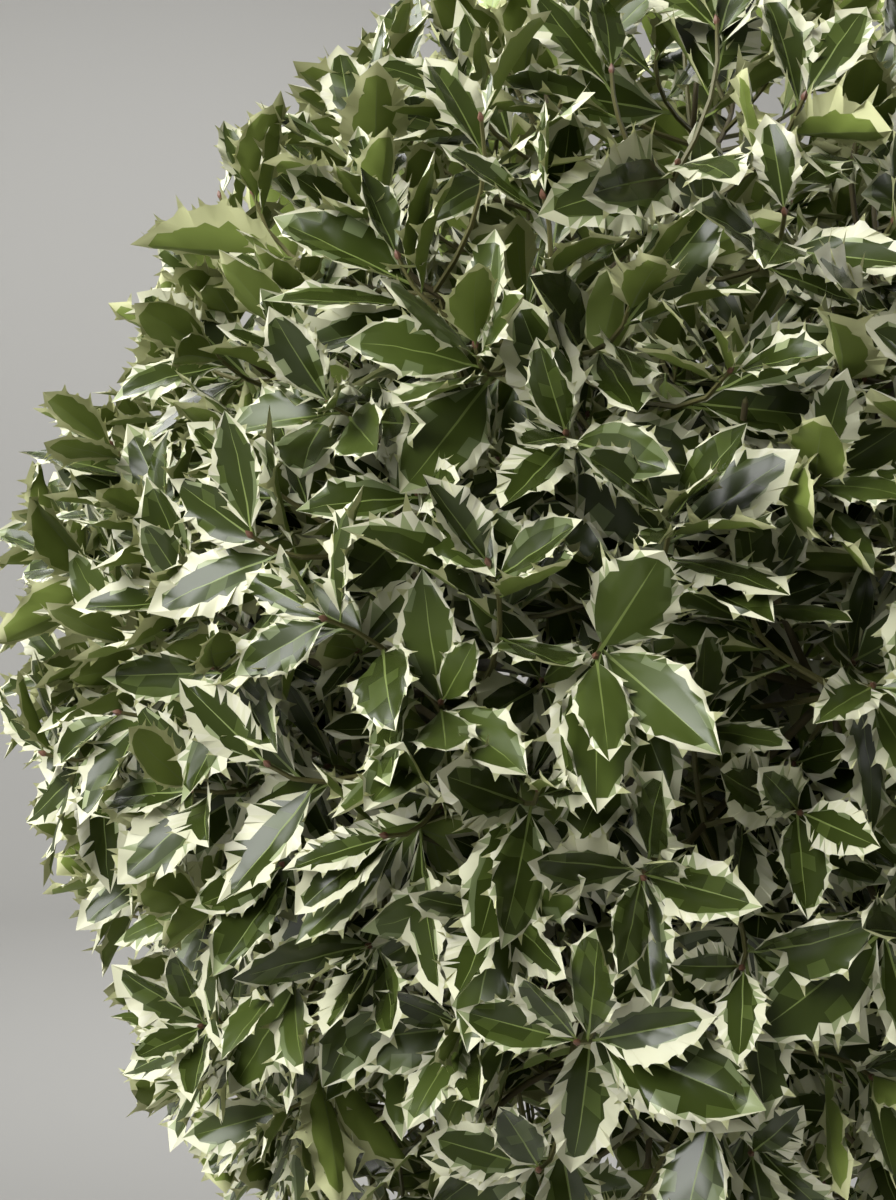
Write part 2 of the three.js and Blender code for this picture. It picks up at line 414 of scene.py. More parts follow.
# Mature holly has a thick cuticle: a dark green that carries the sky's sheen. The margins have no green
# tissue and look waxy and cream. The underside has no gloss and is a yellower green, made lighter and
# more saturated than its own colour as painted light shining through the leaf.
TISSUES = {
    Tissue.HEART: Cuticle("leaf_heart_dark_green", "#303a15", 0.23, 0.40),
    Tissue.FLANK: Cuticle("leaf_flank_green", "#414d20", 0.28, 0.38),
    Tissue.MARBLED: Cuticle("leaf_marbled_grey_green", "#616c47", 0.31, 0.38),
    Tissue.FADED: Cuticle("leaf_faded_pale_grey_green", "#8b956c", 0.36),
    Tissue.MARGIN: Cuticle("leaf_margin_cream", "#c5c5a9", 0.42, 0.35),
    Tissue.IVORY: Cuticle("leaf_margin_ivory", "#cbcab4", 0.42, 0.35),
    Tissue.RIB: Cuticle("leaf_midrib_pale_green", "#6f7d42", 0.40),
    # The underside's colour holds painted light: it is lightened and saturated to stand in for light shining
    # through the leaf.
    Tissue.UNDERSIDE: Cuticle("leaf_underside_green_with_painted_transmitted_light", "#73823c", 0.55, 0.35),
    Tissue.UNDER_MARGIN: Cuticle("leaf_underside_margin", "#c0c292", 0.55, 0.35),
    Tissue.YOUNG: Cuticle("young_leaf_light_green", "#7f8f42", 0.38),
    Tissue.YOUNG_MARGIN: Cuticle("young_leaf_margin", "#bcbe88", 0.40),
}


class Wood(IntEnum):
    """What a twig's faces show. The number is the face's slot on the twigs' mesh."""

    STEM = 0
    TWIG = auto()
    SHOOT = auto()
    SHOOT_TIP = auto()


# Bark creeps up the twigs with age: grey-brown on the stems, olive on the twigs, and a green skin flushed
# with purple on this year's shoots.
WOODS = {
    Wood.STEM: Cuticle("stem_grey_brown_bark", "#6f6757", 0.75, 0.3),
    Wood.TWIG: Cuticle("twig_olive_brown_bark", "#5a523a", 0.6, 0.4),
    Wood.SHOOT: Cuticle("shoot_olive_skin", "#63603a", 0.5),
    Wood.SHOOT_TIP: Cuticle("shoot_purple_brown_skin", "#704f3f", 0.45),
}


@dataclass(frozen=True)
class Bark:
    """Smooth silver-grey holly bark with a green film of algae, brown lenticels and a damp, dark foot.

    Attributes:
        patch: Size of a lighter or darker patch.
        film: Size of a patch of algae.
        lenticel: Width of the field of bark round each lenticel.
        squash: How many times wider than tall a lenticel is.
        wrinkle: Height of one of the fine wrinkles round the limb.
        grain: Size of the finest relief.
        damp: Height up to which the foot is dark.
        roughness: Of the dry bark.
    """

    patch: float = 35 * MM
    film: float = 110 * MM
    lenticel: float = 8 * MM
    squash: float = 2.6
    wrinkle: float = 5 * MM
    grain: float = 1.6 * MM
    damp: float = 150 * MM
    roughness: float = 0.78

    # Where the greys lie on the patches' noise, and the colours that come over them.
    GREYS = ((0.30, "#575348"), (0.48, "#7b776a"), (0.60, "#8f8b7d"), (0.74, "#a5a295"))
    ALGAE = "#63684a"
    DAMP = "#4a4838"
    CORK = "#54452f"
    # The noise between which the algae thickens, and how thick the algae and the damp get.
    ALGAE_SPAN = (0.47, 0.70)
    ALGAE_MOST = 0.75
    DAMP_MOST = 0.65
    # Lenticels: where a spot ends, how much it shows, and which fields have one.
    SPOT_RIM = (0.10, 0.24)
    SPOT_MOST = 0.85
    SPOTTED = (0.55, 0.75)
    # How often each pattern's noise is refined, and how rough that makes it.
    PATCH_DETAIL, FILM_DETAIL, WRINKLE_DETAIL, GRAIN_DETAIL = 5.0, 4.0, 3.0, 2.0
    NOISE_ROUGHNESS = 0.62
    # The wrinkles run round the limb. Each relief has a strength and a depth.
    ROUND_THE_LIMB = (0.3, 0.3, 1.0)
    WRINKLE_RELIEF = (0.7, 1.5 * MM)
    GRAIN_RELIEF = (0.5, 0.5 * MM)
    WART_RELIEF = (0.8, 0.8 * MM)

    def material(self) -> Material:
        """Make the finish.

        Returns:
            The material.
        """
        material, tree = new_material("holly_bark")
        place = add_node(tree, "ShaderNodeTexCoord").outputs["Object"]
        patches = self._noise(tree, place, self.patch, self.PATCH_DETAIL)
        greys = add_node(tree, "ShaderNodeValToRGB", {"Fac": patches})
        self._ramp(greys, self.GREYS)
        film = self._noise(tree, place, self.film, self.FILM_DETAIL)
        film = self._range(tree, film, self.ALGAE_SPAN, (0.0, self.ALGAE_MOST))
        green = self._mixed(tree, film, greys.outputs["Color"], self.ALGAE)
        height = add_node(tree, "ShaderNodeSeparateXYZ", {"Vector": place}).outputs["Z"]
        damp = self._range(tree, height, (0.0, self.damp), (self.DAMP_MOST, 0.0))
        foot = self._mixed(tree, damp, green, self.DAMP)
        lenticels = self._lenticels(tree, place)
        colour = self._mixed(tree, lenticels, foot, self.CORK)
        ringed = add_node(tree, "ShaderNodeMapping", {"Vector": place, "Scale": self.ROUND_THE_LIMB})
        wrinkles = self._noise(tree, ringed.outputs["Vector"], self.wrinkle, self.WRINKLE_DETAIL)
        grain = self._noise(tree, place, self.grain, self.GRAIN_DETAIL)
        inputs = {"Base Color": colour, "Roughness": self.roughness}
        for raised, (strength, depth) in (
            (wrinkles, self.WRINKLE_RELIEF),
            (grain, self.GRAIN_RELIEF),
            (lenticels, self.WART_RELIEF),
        ):
            relief = {"Height": raised, "Strength": strength, "Distance": depth}
            if "Normal" in inputs:
                relief["Normal"] = inputs["Normal"]
            inputs["Normal"] = add_node(tree, "ShaderNodeBump", relief).outputs["Normal"]
        add_shader(tree, inputs)
        return material

    def _noise(self, tree: Tree, place: Socket, size: float, detail: float) -> Socket:
        """Return noise whose patches have this size."""
        inputs = {"Vector": place, "Scale": 1 / size, "Detail": detail, "Roughness": self.NOISE_ROUGHNESS}
        return add_node(tree, "ShaderNodeTexNoise", inputs).outputs["Fac"]

    def _range(self, tree: Tree, value: Socket, span: Span, to: Span) -> Socket:
        """Return a value that goes from one end of "to" to the other while another goes over its span."""
        inputs = {"Value": value, "From Min": span[0], "From Max": span[1], "To Min": to[0], "To Max": to[1]}
        return add_node(tree, "ShaderNodeMapRange", inputs).outputs["Result"]

    def _mixed(self, tree: Tree, share: Socket, under: Socket, colour: str) -> Socket:
        """Return a colour with a share of this sRGB hex colour mixed in."""
        inputs = {"Factor": share, "A": under, "B": linear(colour)}
        return add_node(tree, "ShaderNodeMix", inputs, data_type="RGBA").outputs["Result"]

    def _lenticels(self, tree: Tree, place: Socket) -> Socket:
        """Lay short dashes round the limb, in some of the fields of a cell pattern.

        Args:
            tree: The node tree.
            place: Where on the limb.

        Returns:
            How much of each spot is a lenticel.
        """
        squashed = add_node(tree, "ShaderNodeMapping", {"Vector": place, "Scale": (1.0, 1.0, self.squash)})
        inputs = {"Vector": squashed.outputs["Vector"], "Scale": 1 / self.lenticel}
        fields = add_node(tree, "ShaderNodeTexVoronoi", inputs)
        spots = self._range(tree, fields.outputs["Distance"], self.SPOT_RIM, (self.SPOT_MOST, 0.0))
        dealt = add_node(tree, "ShaderNodeSeparateColor", {"Color": fields.outputs["Color"]}).outputs[0]
        kept = self._range(tree, dealt, self.SPOTTED, (0.0, 1.0))
        return add_node(tree, "ShaderNodeMath", {0: spots, 1: kept}, operation="MULTIPLY").outputs[0]

    def _ramp(self, node: Node, stops: Sequence[tuple[float, str]]) -> None:
        """Set the stops of a colour ramp.

        Args:
            node: The ramp's node.
            stops: For each stop its place and its sRGB hex colour.
        """
        elements = node.color_ramp.elements
        while len(elements) < len(stops):
            elements.new(1.0)
        for element, (place, colour) in zip(elements, stops):
            element.position = place
            element.color = linear(colour)


# ---------------------------------------------------------------- meshes from arrays
class Heap:
    """Many small closed shapes, gathered as arrays and joined into one mesh."""

    def __init__(self) -> None:
        """Start with nothing."""
        self.points: list[np.ndarray] = []
        self.corners: list[np.ndarray] = []
        self.sizes: list[np.ndarray] = []
        self.slots: list[np.ndarray] = []
        self.count = 0

    def add(self, points: np.ndarray, faces: np.ndarray, slots: np.ndarray) -> None:
        """Add shapes.

        Args:
            points: Their corners, one a row.
            faces: For each face the rows of its corners, anticlockwise seen from outside.
            slots: For each face its material slot.
        """
        self.points.append(points)
        self.corners.append((faces + self.count).ravel())
        self.sizes.append(np.full(len(faces), faces.shape[1]))
        self.slots.append(slots)
        self.count += len(points)

    def joined(self, name: str, materials: Iterable[Material], crease: float) -> Thing:
        """Join the shapes into one object.

        Args:
            name: The object's name.
            materials: One for each slot.
            crease: The angle in degrees above which an edge stays sharp.

        Returns:
            The object.
        """
        points, corners = np.concatenate(self.points), np.concatenate(self.corners)
        sizes, slots = np.concatenate(self.sizes), np.concatenate(self.slots)
        mesh = bpy.data.meshes.new(name)
        mesh.vertices.add(len(points))
        mesh.vertices.foreach_set("co", points.astype(np.float32).ravel())
        mesh.loops.add(len(corners))
        mesh.loops.foreach_set("vertex_index", corners.astype(np.int32))
        mesh.polygons.add(len(sizes))
        mesh.polygons.foreach_set("loop_start", (np.cumsum(sizes) - sizes).astype(np.int32))
        for material in materials:
            mesh.materials.append(material)
        mesh.polygons.foreach_set("material_index", slots.astype(np.int32))
        mesh.update(calc_edges=True)
        mesh.set_sharp_from_angle(angle=math.radians(crease))
        thing = bpy.data.objects.new(name, mesh)
        bpy.context.scene.collection.objects.link(thing)
        return thing


def install(thing: Thing, nodes: Sequence[str]) -> None:
    """Put a finished piece in the tree and log it.

    Args:
        thing: The piece, with its place in its mesh.
        nodes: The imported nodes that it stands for.
    """
    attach(thing, BODY)
    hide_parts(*nodes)
    triangles = sum(len(face.vertices) - 2 for face in thing.data.polygons)
    LOG.info("%s: %d triangles", thing.name, triangles)


# ---------------------------------------------------------------- trunk and boughs
@dataclass(frozen=True)
class Relief:
    """The swellings and wrinkles of the bark, raised on the mesh itself.

    Attributes:
        swelling: Size and height of the slow changes of girth.
        wrinkle: Size and height of the fine relief.
    """

    swelling: Span = (60 * MM, 3.0 * MM)
    wrinkle: Span = (9 * MM, 1.0 * MM)

    def raise_on(self, thing: Thing, share: float) -> None:
        """Displace a mesh by the relief.

        Args:
            thing: The object.
            share: The share of the heights to use, less on a thin limb.
        """
        for name, (size, height) in (("swelling", self.swelling), ("wrinkle", self.wrinkle)):
            texture = bpy.data.textures.get(name) or bpy.data.textures.new(name, "CLOUDS")
            texture.noise_scale = size
            texture.noise_depth = 2
            modifier = thing.modifiers.new(name, "DISPLACE")
            modifier.texture = texture
            modifier.texture_coords = "LOCAL"
            modifier.strength = height * share
            modifier.mid_level = 0.5
            bpy.ops.object.modifier_apply(modifier=name)


@dataclass
class Limb:
    """One tapering limb: extruded straight up at its true length and girth, then bent on to its line.

    Attributes:
        name: The limb's name, which is also that of the node that it stands for.
        line: Its centre line.
        girths: From its start to its end, pairs of a share of its length and a radius there.
        sunk: How far its start goes back inside what carries it, or below the ground.
        sides: Of the limb before it is smoothed.
        smoothing: How many times its faces are divided.
        relief: The share of the bark's relief that it has.
        lobes: How many root lobes it has.
        lobe: How far a lobe stands out at the ground.
    """

    name: str
    line: Curve
    girths: Sequence[Span]
    sunk: float
    sides: int
    smoothing: int
    relief: float
    lobes: int = 0
    lobe: float = 0.0

    # How far round the limb a lobe's ridge goes, and how far a pull fades, in reaches of a lobe.
    RIDGE = 0.96
    PULL_FADE = 1.6
    LOBE_SPREAD = (0.8, 1.2)
    LINE_STEPS = 48
    # Between which heights a lobe is pulled out, and the share of its reach there.
    LOBE_PULLS = (
        (-20 * MM, 5 * MM, 0.85),
        (20 * MM, 30 * MM, 0.42),
        (35 * MM, 50 * MM, 0.17),
        (60 * MM, 75 * MM, 0.08),
    )

    def build(self) -> Thing:
        """Model the limb.

        Returns:
            Its object.
        """
        thing = self._column()
        self._smooth(thing)
        self._bend(thing)
        Relief().raise_on(thing, self.relief)
        bpy.ops.object.shade_smooth()
        return thing

    def _column(self) -> Thing:
        """Extrude the straight limb step by step from a disc.

        Returns:
            Its object, in object mode.
        """
        length = self.line.length()
        bpy.ops.object.select_all(action="DESELECT")
        height, radius = -self.sunk, self.girths[0][1]
        bpy.ops.mesh.primitive_circle_add(
            vertices=self.sides, radius=radius, fill_type="NGON", location=(0, 0, height)
        )
        thing = bpy.context.object
        thing.name = thing.data.name = self.name
        bpy.ops.object.transform_apply(location=True)
        bpy.ops.object.mode_set(mode="EDIT")
        bpy.ops.mesh.select_all(action="SELECT")
        for share, girth in self.girths:
            rise = share * length - height
            bpy.ops.mesh.extrude_region_move(TRANSFORM_OT_translate={"value": (0, 0, rise)})
            scale = girth / radius
            height, radius = share * length, girth
            bpy.ops.transform.resize(value=(scale, scale, 1), center_override=(0, 0, height))
        bpy.ops.mesh.select_all(action="SELECT")
        bpy.ops.mesh.normals_make_consistent(inside=False)
        self._draw_out_lobes()
        bpy.ops.object.mode_set(mode="OBJECT")
        return thing

    def _draw_out_lobes(self) -> None:
        """Pull the foot out into root lobes that fade up the limb, each move fading round it."""
        thing = bpy.context.object
        for number in range(self.lobes):
            outward = direction_of(0, 360 * number / self.lobes)
            reach = self.lobe * lerp(*self.LOBE_SPREAD, chance(Deal.LOBE, number))
            for low, high, share in self.LOBE_PULLS:
                bpy.ops.mesh.select_all(action="DESELECT")
                bpy.ops.object.mode_set(mode="OBJECT")
                for corner in thing.data.vertices:
                    spot = np.array(corner.co)
                    ahead = spot @ outward > self.RIDGE * np.linalg.norm(spot[:2]) > 0
                    corner.select = bool(low < spot[2] < high and ahead)
                bpy.ops.object.mode_set(mode="EDIT")
                bpy.ops.transform.translate(
                    value=tuple(outward * reach * share),
                    use_proportional_edit=True,
                    proportional_edit_falloff="SMOOTH",
                    proportional_size=self.PULL_FADE * self.lobe,
                )

    def _smooth(self, thing: Thing) -> None:
        """Divide the faces of the limb's object into a smooth surface."""
        modifier = thing.modifiers.new("smooth", "SUBSURF")
        modifier.levels = modifier.render_levels = self.smoothing
        bpy.ops.object.modifier_apply(modifier="smooth")

    def _bend(self, thing: Thing) -> None:
        """Bend the straight limb on to its centre line.

        Args:
            thing: The limb's object.
        """
        path = bpy.data.curves.new("line", "CURVE")
        path.dimensions = "3D"
        path.resolution_u = self.LINE_STEPS
        spline = path.splines.new("BEZIER")
        spline.bezier_points.add(1)
        start, leave, arrive, end = self.line.as_cubic()
        first, last = spline.bezier_points
        first.co, first.handle_right, first.handle_left = start, leave, 2 * start - leave
        last.co, last.handle_left, last.handle_right = end, arrive, 2 * end - arrive
        guide = bpy.data.objects.new("line", path)
        bpy.context.scene.collection.objects.link(guide)
        modifier = thing.modifiers.new("bend", "CURVE")
        modifier.object = guide
        modifier.deform_axis = "POS_Z"
        bpy.ops.object.modifier_apply(modifier="bend")
        bpy.data.objects.remove(guide)
        bpy.data.curves.remove(path)


TRUNK_GUIDES = ((0.0, 0.0, 0.0), (0.0, 0.0, 0.450), (-0.026, 0.016, 0.950), (0.006, -0.004, 1.540))


@dataclass
class Trunk:
    """The clear stem, from its flared foot to its tip inside the head.

    Attributes:
        line: Its centre line.
        foot_radius: At the ground, without the flare.
        tip_radius: At its tip.
        fullness: How long it keeps its girth.
        flare: What the flare adds to the radius at the ground.
        flare_height: Over which the flare dies away.
        lobes: How many root lobes it has.
        lobe: How far a lobe stands out.
        steps: Along it, before it is smoothed.
        crowding: How much closer the steps are at the foot.
        sunk: How deep it is modelled before its foot is cut flat.
        sides: Of its section, before it is smoothed.
    """

    line: Curve = field(default_factory=lambda: Curve(tuple(map(np.array, TRUNK_GUIDES))))
    foot_radius: float = 23 * MM
    tip_radius: float = 7.5 * MM
    fullness: float = 2.2
    flare: float = 16 * MM
    flare_height: float = 55 * MM
    lobes: int = 5
    lobe: float = 15 * MM
    steps: int = 26
    crowding: float = 1.9
    sunk: float = 15 * MM
    sides: int = 20

    def radius(self, share: float) -> float:
        """Return the trunk's radius at a share of its line."""
        swell = math.exp(-self.line.at(share)[2] / self.flare_height)
        return lerp(self.foot_radius, self.tip_radius, share**self.fullness) + self.flare * swell

    def at_height(self, height: float) -> np.ndarray:
        """Find the point of the centre line at a height.

        Args:
            height: Above the ground.

        Returns:
            The point.
        """
        shares = np.linspace(0, 1, FINE_POINTS)
        return self.line.at(float(np.interp(height, self.line.at(shares)[:, 2], shares)))

    def build(self) -> Thing:
        """Model the trunk, cut flat at the ground.

        Returns:
            Its object.
        """
        shares = [(step / self.steps) ** self.crowding for step in range(1, self.steps + 1)]
        limb = Limb(
            name="trunk_bark",
            line=self.line,
            girths=[(0.0, self.radius(0)), *((share, self.radius(share)) for share in shares)],
            sunk=self.sunk,
            sides=self.sides,
            smoothing=3,
            relief=1.0,
            lobes=self.lobes,
            lobe=self.lobe,
        )
        thing = limb.build()
        bpy.ops.object.mode_set(mode="EDIT")
        bpy.ops.mesh.select_all(action="SELECT")
        bpy.ops.mesh.bisect(
            plane_co=(0, 0, 0), plane_no=(0, 0, 1), use_fill=True, clear_inner=True, threshold=MM * MM
        )
        bpy.ops.object.mode_set(mode="OBJECT")
        return thing

    def dress(self, thing: Thing, bark: Material) -> None:
        """Give the trunk its bark and put it in the tree."""
        thing.data.materials.append(bark)
        install(thing, ["trunk"])


@dataclass
class Mass:
    """A mass of the head's foliage, its space, and the bough that carries it.

    Attributes:
        name: The mass's name, without the word foliage.
        direction: From the head's centre to its middle.
        reach: The share of the head's outline that it fills.
        carrier: The centre line of its bough, or of the trunk.
        carrier_radius: At the carrier's tip.
    """

    name: str
    direction: np.ndarray
    reach: float
    carrier: Curve
    carrier_radius: float


@dataclass
class Bough:
    """A main bough, from inside the trunk to where it hands over to its mass.

    Attributes:
        tier: The ring that it belongs to.
        number: Its number on the ring.
        trunk: What carries it.
        tip_radius: Where it hands over.
        collar: How much thicker it is where it leaves the trunk, as a share.
        collar_end: How fast the collar dies away.
        bend: How far it holds the direction in which it sets out.
        sunk: How far it goes back inside the trunk.
        sides: Of its section, before it is smoothed.
        line: Its centre line.
        direction: From the head's centre to its mass.
    """

    tier: Tier
    number: int
    trunk: Trunk
    tip_radius: float = 4.6 * MM
    collar: float = 0.55
    collar_end: float = 11
    bend: float = 0.5
    sunk: float = 14 * MM
    sides: int = 10
    line: Curve = field(init=False)
    direction: np.ndarray = field(init=False)

    # Where its rings stand, as shares of its line, closer together at both ends.
    RINGS = (0.0, 0.08, 0.16, 0.25, 0.36, 0.48, 0.6, 0.72, 0.84, 0.93, 1.0)

    def __post_init__(self) -> None:
        """Work out the bough's place on its tier's ring."""
        turn = self.tier.first_turn + 360 * self.number / len(self.tier.leaves)
        self.direction = direction_of(self.tier.elevation, turn)
        start = self.trunk.at_height(self.tier.leaves[self.number])
        end = HEAD.point(self.direction, self.tier.entry)
        rise = direction_of(self.tier.rise, turn) * np.linalg.norm(end - start) * self.bend
        self.line = Curve((start, start + rise, end))

    @property
    def name(self) -> str:
        """The bough's name, which its mass shares."""
        return f"{self.tier.name}_{self.number + 1}"

    def mass(self) -> Mass:
        """Return the mass that this bough carries."""
        return Mass(self.name, self.direction, self.tier.reach[self.number], self.line, self.tip_radius)

    def radius(self, share: float) -> float:
        """Return the bough's radius at a share of its line."""
        swelling = 1 + self.collar * math.exp(-share * self.collar_end)
        return lerp(self.tier.radius, self.tip_radius, share) * swelling

    def build(self) -> Thing:
        """Model the bough.

        Returns:
            Its object.
        """
        limb = Limb(
            name=f"bough_{self.name}_bark",
            line=self.line,
            girths=[(share, self.radius(share)) for share in self.RINGS],
            sunk=self.sunk,
            sides=self.sides,
            smoothing=2,
            relief=0.45,
        )
        return limb.build()

    def dress(self, thing: Thing, bark: Material) -> None:
        """Give the bough its bark and put it in the tree."""
        thing.data.materials.append(bark)
        install(thing, [f"bough_{self.name}"])


# ---------------------------------------------------------------- leaves
@dataclass(frozen=True)
class Cut:
    """How one kind of blade is cut and marked. Sizes are shares of the leaf's length.

    Attributes:
        spines: On each side.
        width: Of half the blade, without its spines.
        belly: Where the blade is widest.
        spine: How far a spine stands out.
        margin: The share of half the blade, from its edge, that has no green.
        ragged: How far the margin's inner border strays, as a share of half the blade.
        marbling: The share of the flank's faces that are grey-green.
        detailed: Whether it is seen close to.
    """

    spines: int
    width: float
    belly: float
    spine: float
    margin: float
    ragged: float
    marbling: float
    detailed: bool


class Blade:
    """A leaf's blade laid flat: a closed shape with its tissue for each face, one leaf length long."""

    PETIOLE_END = 0.075
    PETIOLE_HALF = 0.012
    RIB_HALF = 0.010
    HALF_THICK = 0.004
    EDGE_THICK = 0.0015
    VEIN_SLANT = 0.17
    STATIONS = (0.13, 0.27, 0.41, 0.55, 0.69, 0.83)
    BORDER_STATIONS = (0.10, 0.17, 0.24, 0.31, 0.38, 0.45, 0.52, 0.59, 0.66, 0.73, 0.81)
    PLAIN_STATIONS = (0.20, 0.45, 0.70)
    FIRST_SPINE = 0.235
    LAST_SPINE = 0.90
    GREEN_END = 0.955
    TIP = 1.07
    TIP_LIFT = 0.3
    RIB_TOP = 0.006
    RIB_TAPER = 1.1
    UNDER_STALK = 0.7
    STALK_STATION = 0.05

    # How blunt the outline is at its root and at its tip, 1 being a sine.
    ROOT_BLUNT, TIP_BLUNT = 0.88, 0.62
    # The row halfway out, and how far it strays.
    MIDDLE, MIDDLE_STRAY = 0.5, 0.08
    # How far the inside follows the wave of the edge.
    INSIDE_LIFT = 0.25

    # The green's end: how margins differ, and its tongues, every other one longer.
    MARGIN_SPREAD = (0.6, 1.5)
    TONGUE = 0.16
    TONGUE_SPREAD = (0.3, 1.8)
    LONG_TONGUE = 0.8
    LEAST_GREEN = 0.3

    # Along the edge, in steps from spine to spine: how far a spine strays, and the two ends of its base.
    SPINE_STRAY = 0.3
    BASE_BEHIND, BASE_AHEAD = 0.14, 0.13
    # In spines: how lengths differ, how far the base's ends stand out, and how far the point leans ahead.
    LEAST_SPINE, SPINE_SPREAD = 0.7, 0.6
    HEEL, TOE, HOOK = 0.30, 0.22, 0.5
    # Spines turn up and down in turn. The bays between them stay nearly flat.
    WAVES = (-0.75, 1.0)
    BASE_LIFT, POINT_LIFT, BAY_LIFT = 0.7, 1.5, 0.15
    # The corners of a bay: how far along it, and how far out in spines.
    BAYS = ((0.34, 0.0), (0.66, 0.02))
    PLAIN_BAYS = ((0.5, 0.0),)

    # What the faces of each band are dealt from.
    HEART_DEAL = (Tissue.HEART,) * 6 + (Tissue.FLANK,)
    FLANK_DEAL = 12
    FLANK_LIGHT = (Tissue.FLANK,) * 5
    MARGIN_DEAL = (Tissue.MARGIN,) * 3 + (Tissue.IVORY,)
    TONGUE_DEAL = (Tissue.MARGIN,) * 5 + (Tissue.FADED,) * 3 + (Tissue.HEART,) * 2

    def __init__(self, cut: Cut, key: int) -> None:
        """Lay out the blade.

        Args:
            cut: How it is cut and marked.
            key: Its number among the kinds of blade.
        """
        self.cut = cut
        self.key = key
        self.stations = self.STATIONS if cut.detailed else self.PLAIN_STATIONS
        self._draws = 0
        self._points: list[tuple[float, float, float]] = []
        self._stations: list[float] = []
        self._lift: list[float] = []
        self._faces: list[tuple[int, int, int]] = []
        self._tissues: list[Tissue] = []
        self._lay_out()
        self.points = np.array(self._points)
        self.lift = np.array(self._lift)
        self.faces = np.array(self._faces)
        self.tissues = np.array(self._tissues)

    def _draw(self) -> float:
        """Return the next number from 0 to 1 of this blade's own."""
        self._draws += 1
        return chance(Deal.MARKS, self.key, self._draws)

    def _half(self, station: float) -> float:
        """Find how wide the blade is, spines left out.

        Args:
            station: From 0 at the root to 1 at the tip.

        Returns:
            Half its width there.
        """
        share = (station - self.PETIOLE_END) / (1 - self.PETIOLE_END)
        if not 0 < share < 1:
            return 0.0
        swing = share ** (math.log(0.5) / math.log(self.cut.belly))
        return self.cut.width * math.sin(math.pi * swing) ** lerp(self.ROOT_BLUNT, self.TIP_BLUNT, share)

    def _corner(self, station: float, x: float, y: float, z: float, lift: float = 0.0) -> int:
        """Add a corner.

        Args:
            station: Its place in its row, from 0 at the root to 1 at the tip.
            x: Along the leaf.
            y: Across it.
            z: Out of its upper side.
            lift: How far it follows the wave of the blade's edge, from -1 to 1.

        Returns:
            Its number.
        """
        self._points.append((x, y, z))
        self._stations.append(station)
        self._lift.append(lift)
        return len(self._points) - 1

    def _face(self, corners: tuple[int, int, int], tissue: Tissue, flip: bool) -> None:
        """Add a face, unless two of its corners are one.

        Args:
            corners: Its corners' numbers.
            tissue: What it shows.
            flip: Whether it is turned over.
        """
        if len(set(corners)) == 3:
            self._faces.append(corners[::-1] if flip else corners)
            self._tissues.append(tissue)

    def _strip(
        self,
        inner: list[int],
        outer: list[int],
        tissues: Sequence[Tissue],
        flip: bool,
        tongues: Sequence[Tissue] = (),
    ) -> None:
        """Fill between two rows of corners that both run from the root to the tip.

        Args:
            inner: The row nearer the midrib.
            outer: The row nearer the edge.
            tissues: What the faces show, dealt out by chance to the field between two veins.
            flip: Whether the faces look the other way.
            tongues: If given, what the faces that stand on the inner row show instead.
        """
        i = j = 0
        tissue = self._deal(tissues)
        while i < len(inner) - 1 or j < len(outer) - 1:
            ends = i == len(inner) - 1
            step_out = j < len(outer) - 1 and (
                ends or self._stations[outer[j + 1]] <= self._stations[inner[i + 1]]
            )
            if step_out:
                self._face((inner[i], outer[j + 1], outer[j]), tissue, flip)
                j += 1
            else:
                shown = self._deal(tongues) if tongues else tissue
                self._face((inner[i], inner[i + 1], outer[j]), shown, flip)
                i += 1
                tissue = self._deal(tissues)

    def _deal(self, tissues: Sequence[Tissue]) -> Tissue:
        """Return one of these tissues by chance."""
        return tissues[int(self._draw() * len(tissues))]

    def _row(
        self, side: int, stations: Sequence[float], outs: Sequence[float], height: float
    ) -> tuple[list[int], list[int]]:
        """Add a row of corners inside the blade, each on a vein that slants ahead, and the row under it.

        Args:
            side: 1 for the left half and -1 for the right.
            stations: Of the veins.
            outs: How far out the row lies on each, as a share of half the blade.
            height: Half the blade's thickness there.

        Returns:
            The row's corners on the upper side, and those under them.
        """
        upper, lower = [], []
        for station, out in zip(stations, outs):
            x = station + self.VEIN_SLANT * out * math.sqrt(station)
            y = side * lerp(self.RIB_HALF, self._half(x), out)
            lift = self.INSIDE_LIFT * out * out
            upper.append(self._corner(station, x, y, height, lift))
            lower.append(self._corner(station, x, y, -height, lift))
        return upper, lower

    def _middle(self, side: int) -> tuple[list[int], list[int]]:
        """Add the row halfway out on one side, and return it with the row under it."""
        outs = [self.MIDDLE + self.MIDDLE_STRAY * (self._draw() * 2 - 1) for _ in self.stations]
        return self._row(side, self.stations, outs, self.HALF_THICK)

    def _border(self, side: int) -> tuple[list[int], list[int]]:
        """Add the row where the green ends, ragged from vein to vein.

        Args:
            side: 1 for the left half and -1 for the right.

        Returns:
            The row's corners on the upper side, and those under them.
        """
        cut = self.cut
        stations = self.BORDER_STATIONS if cut.detailed else self.PLAIN_STATIONS
        green = 1 - cut.margin * lerp(*self.MARGIN_SPREAD, self._draw())
        tongue = cut.ragged + self.TONGUE * cut.margin
        outs = []
        for number in range(len(stations)):
            step_in = tongue * lerp(*self.TONGUE_SPREAD, self._draw()) * (1 + self.LONG_TONGUE * (number % 2))
            outs.append(max(green - step_in, self.LEAST_GREEN))
        return self._row(side, stations, outs, self.EDGE_THICK)

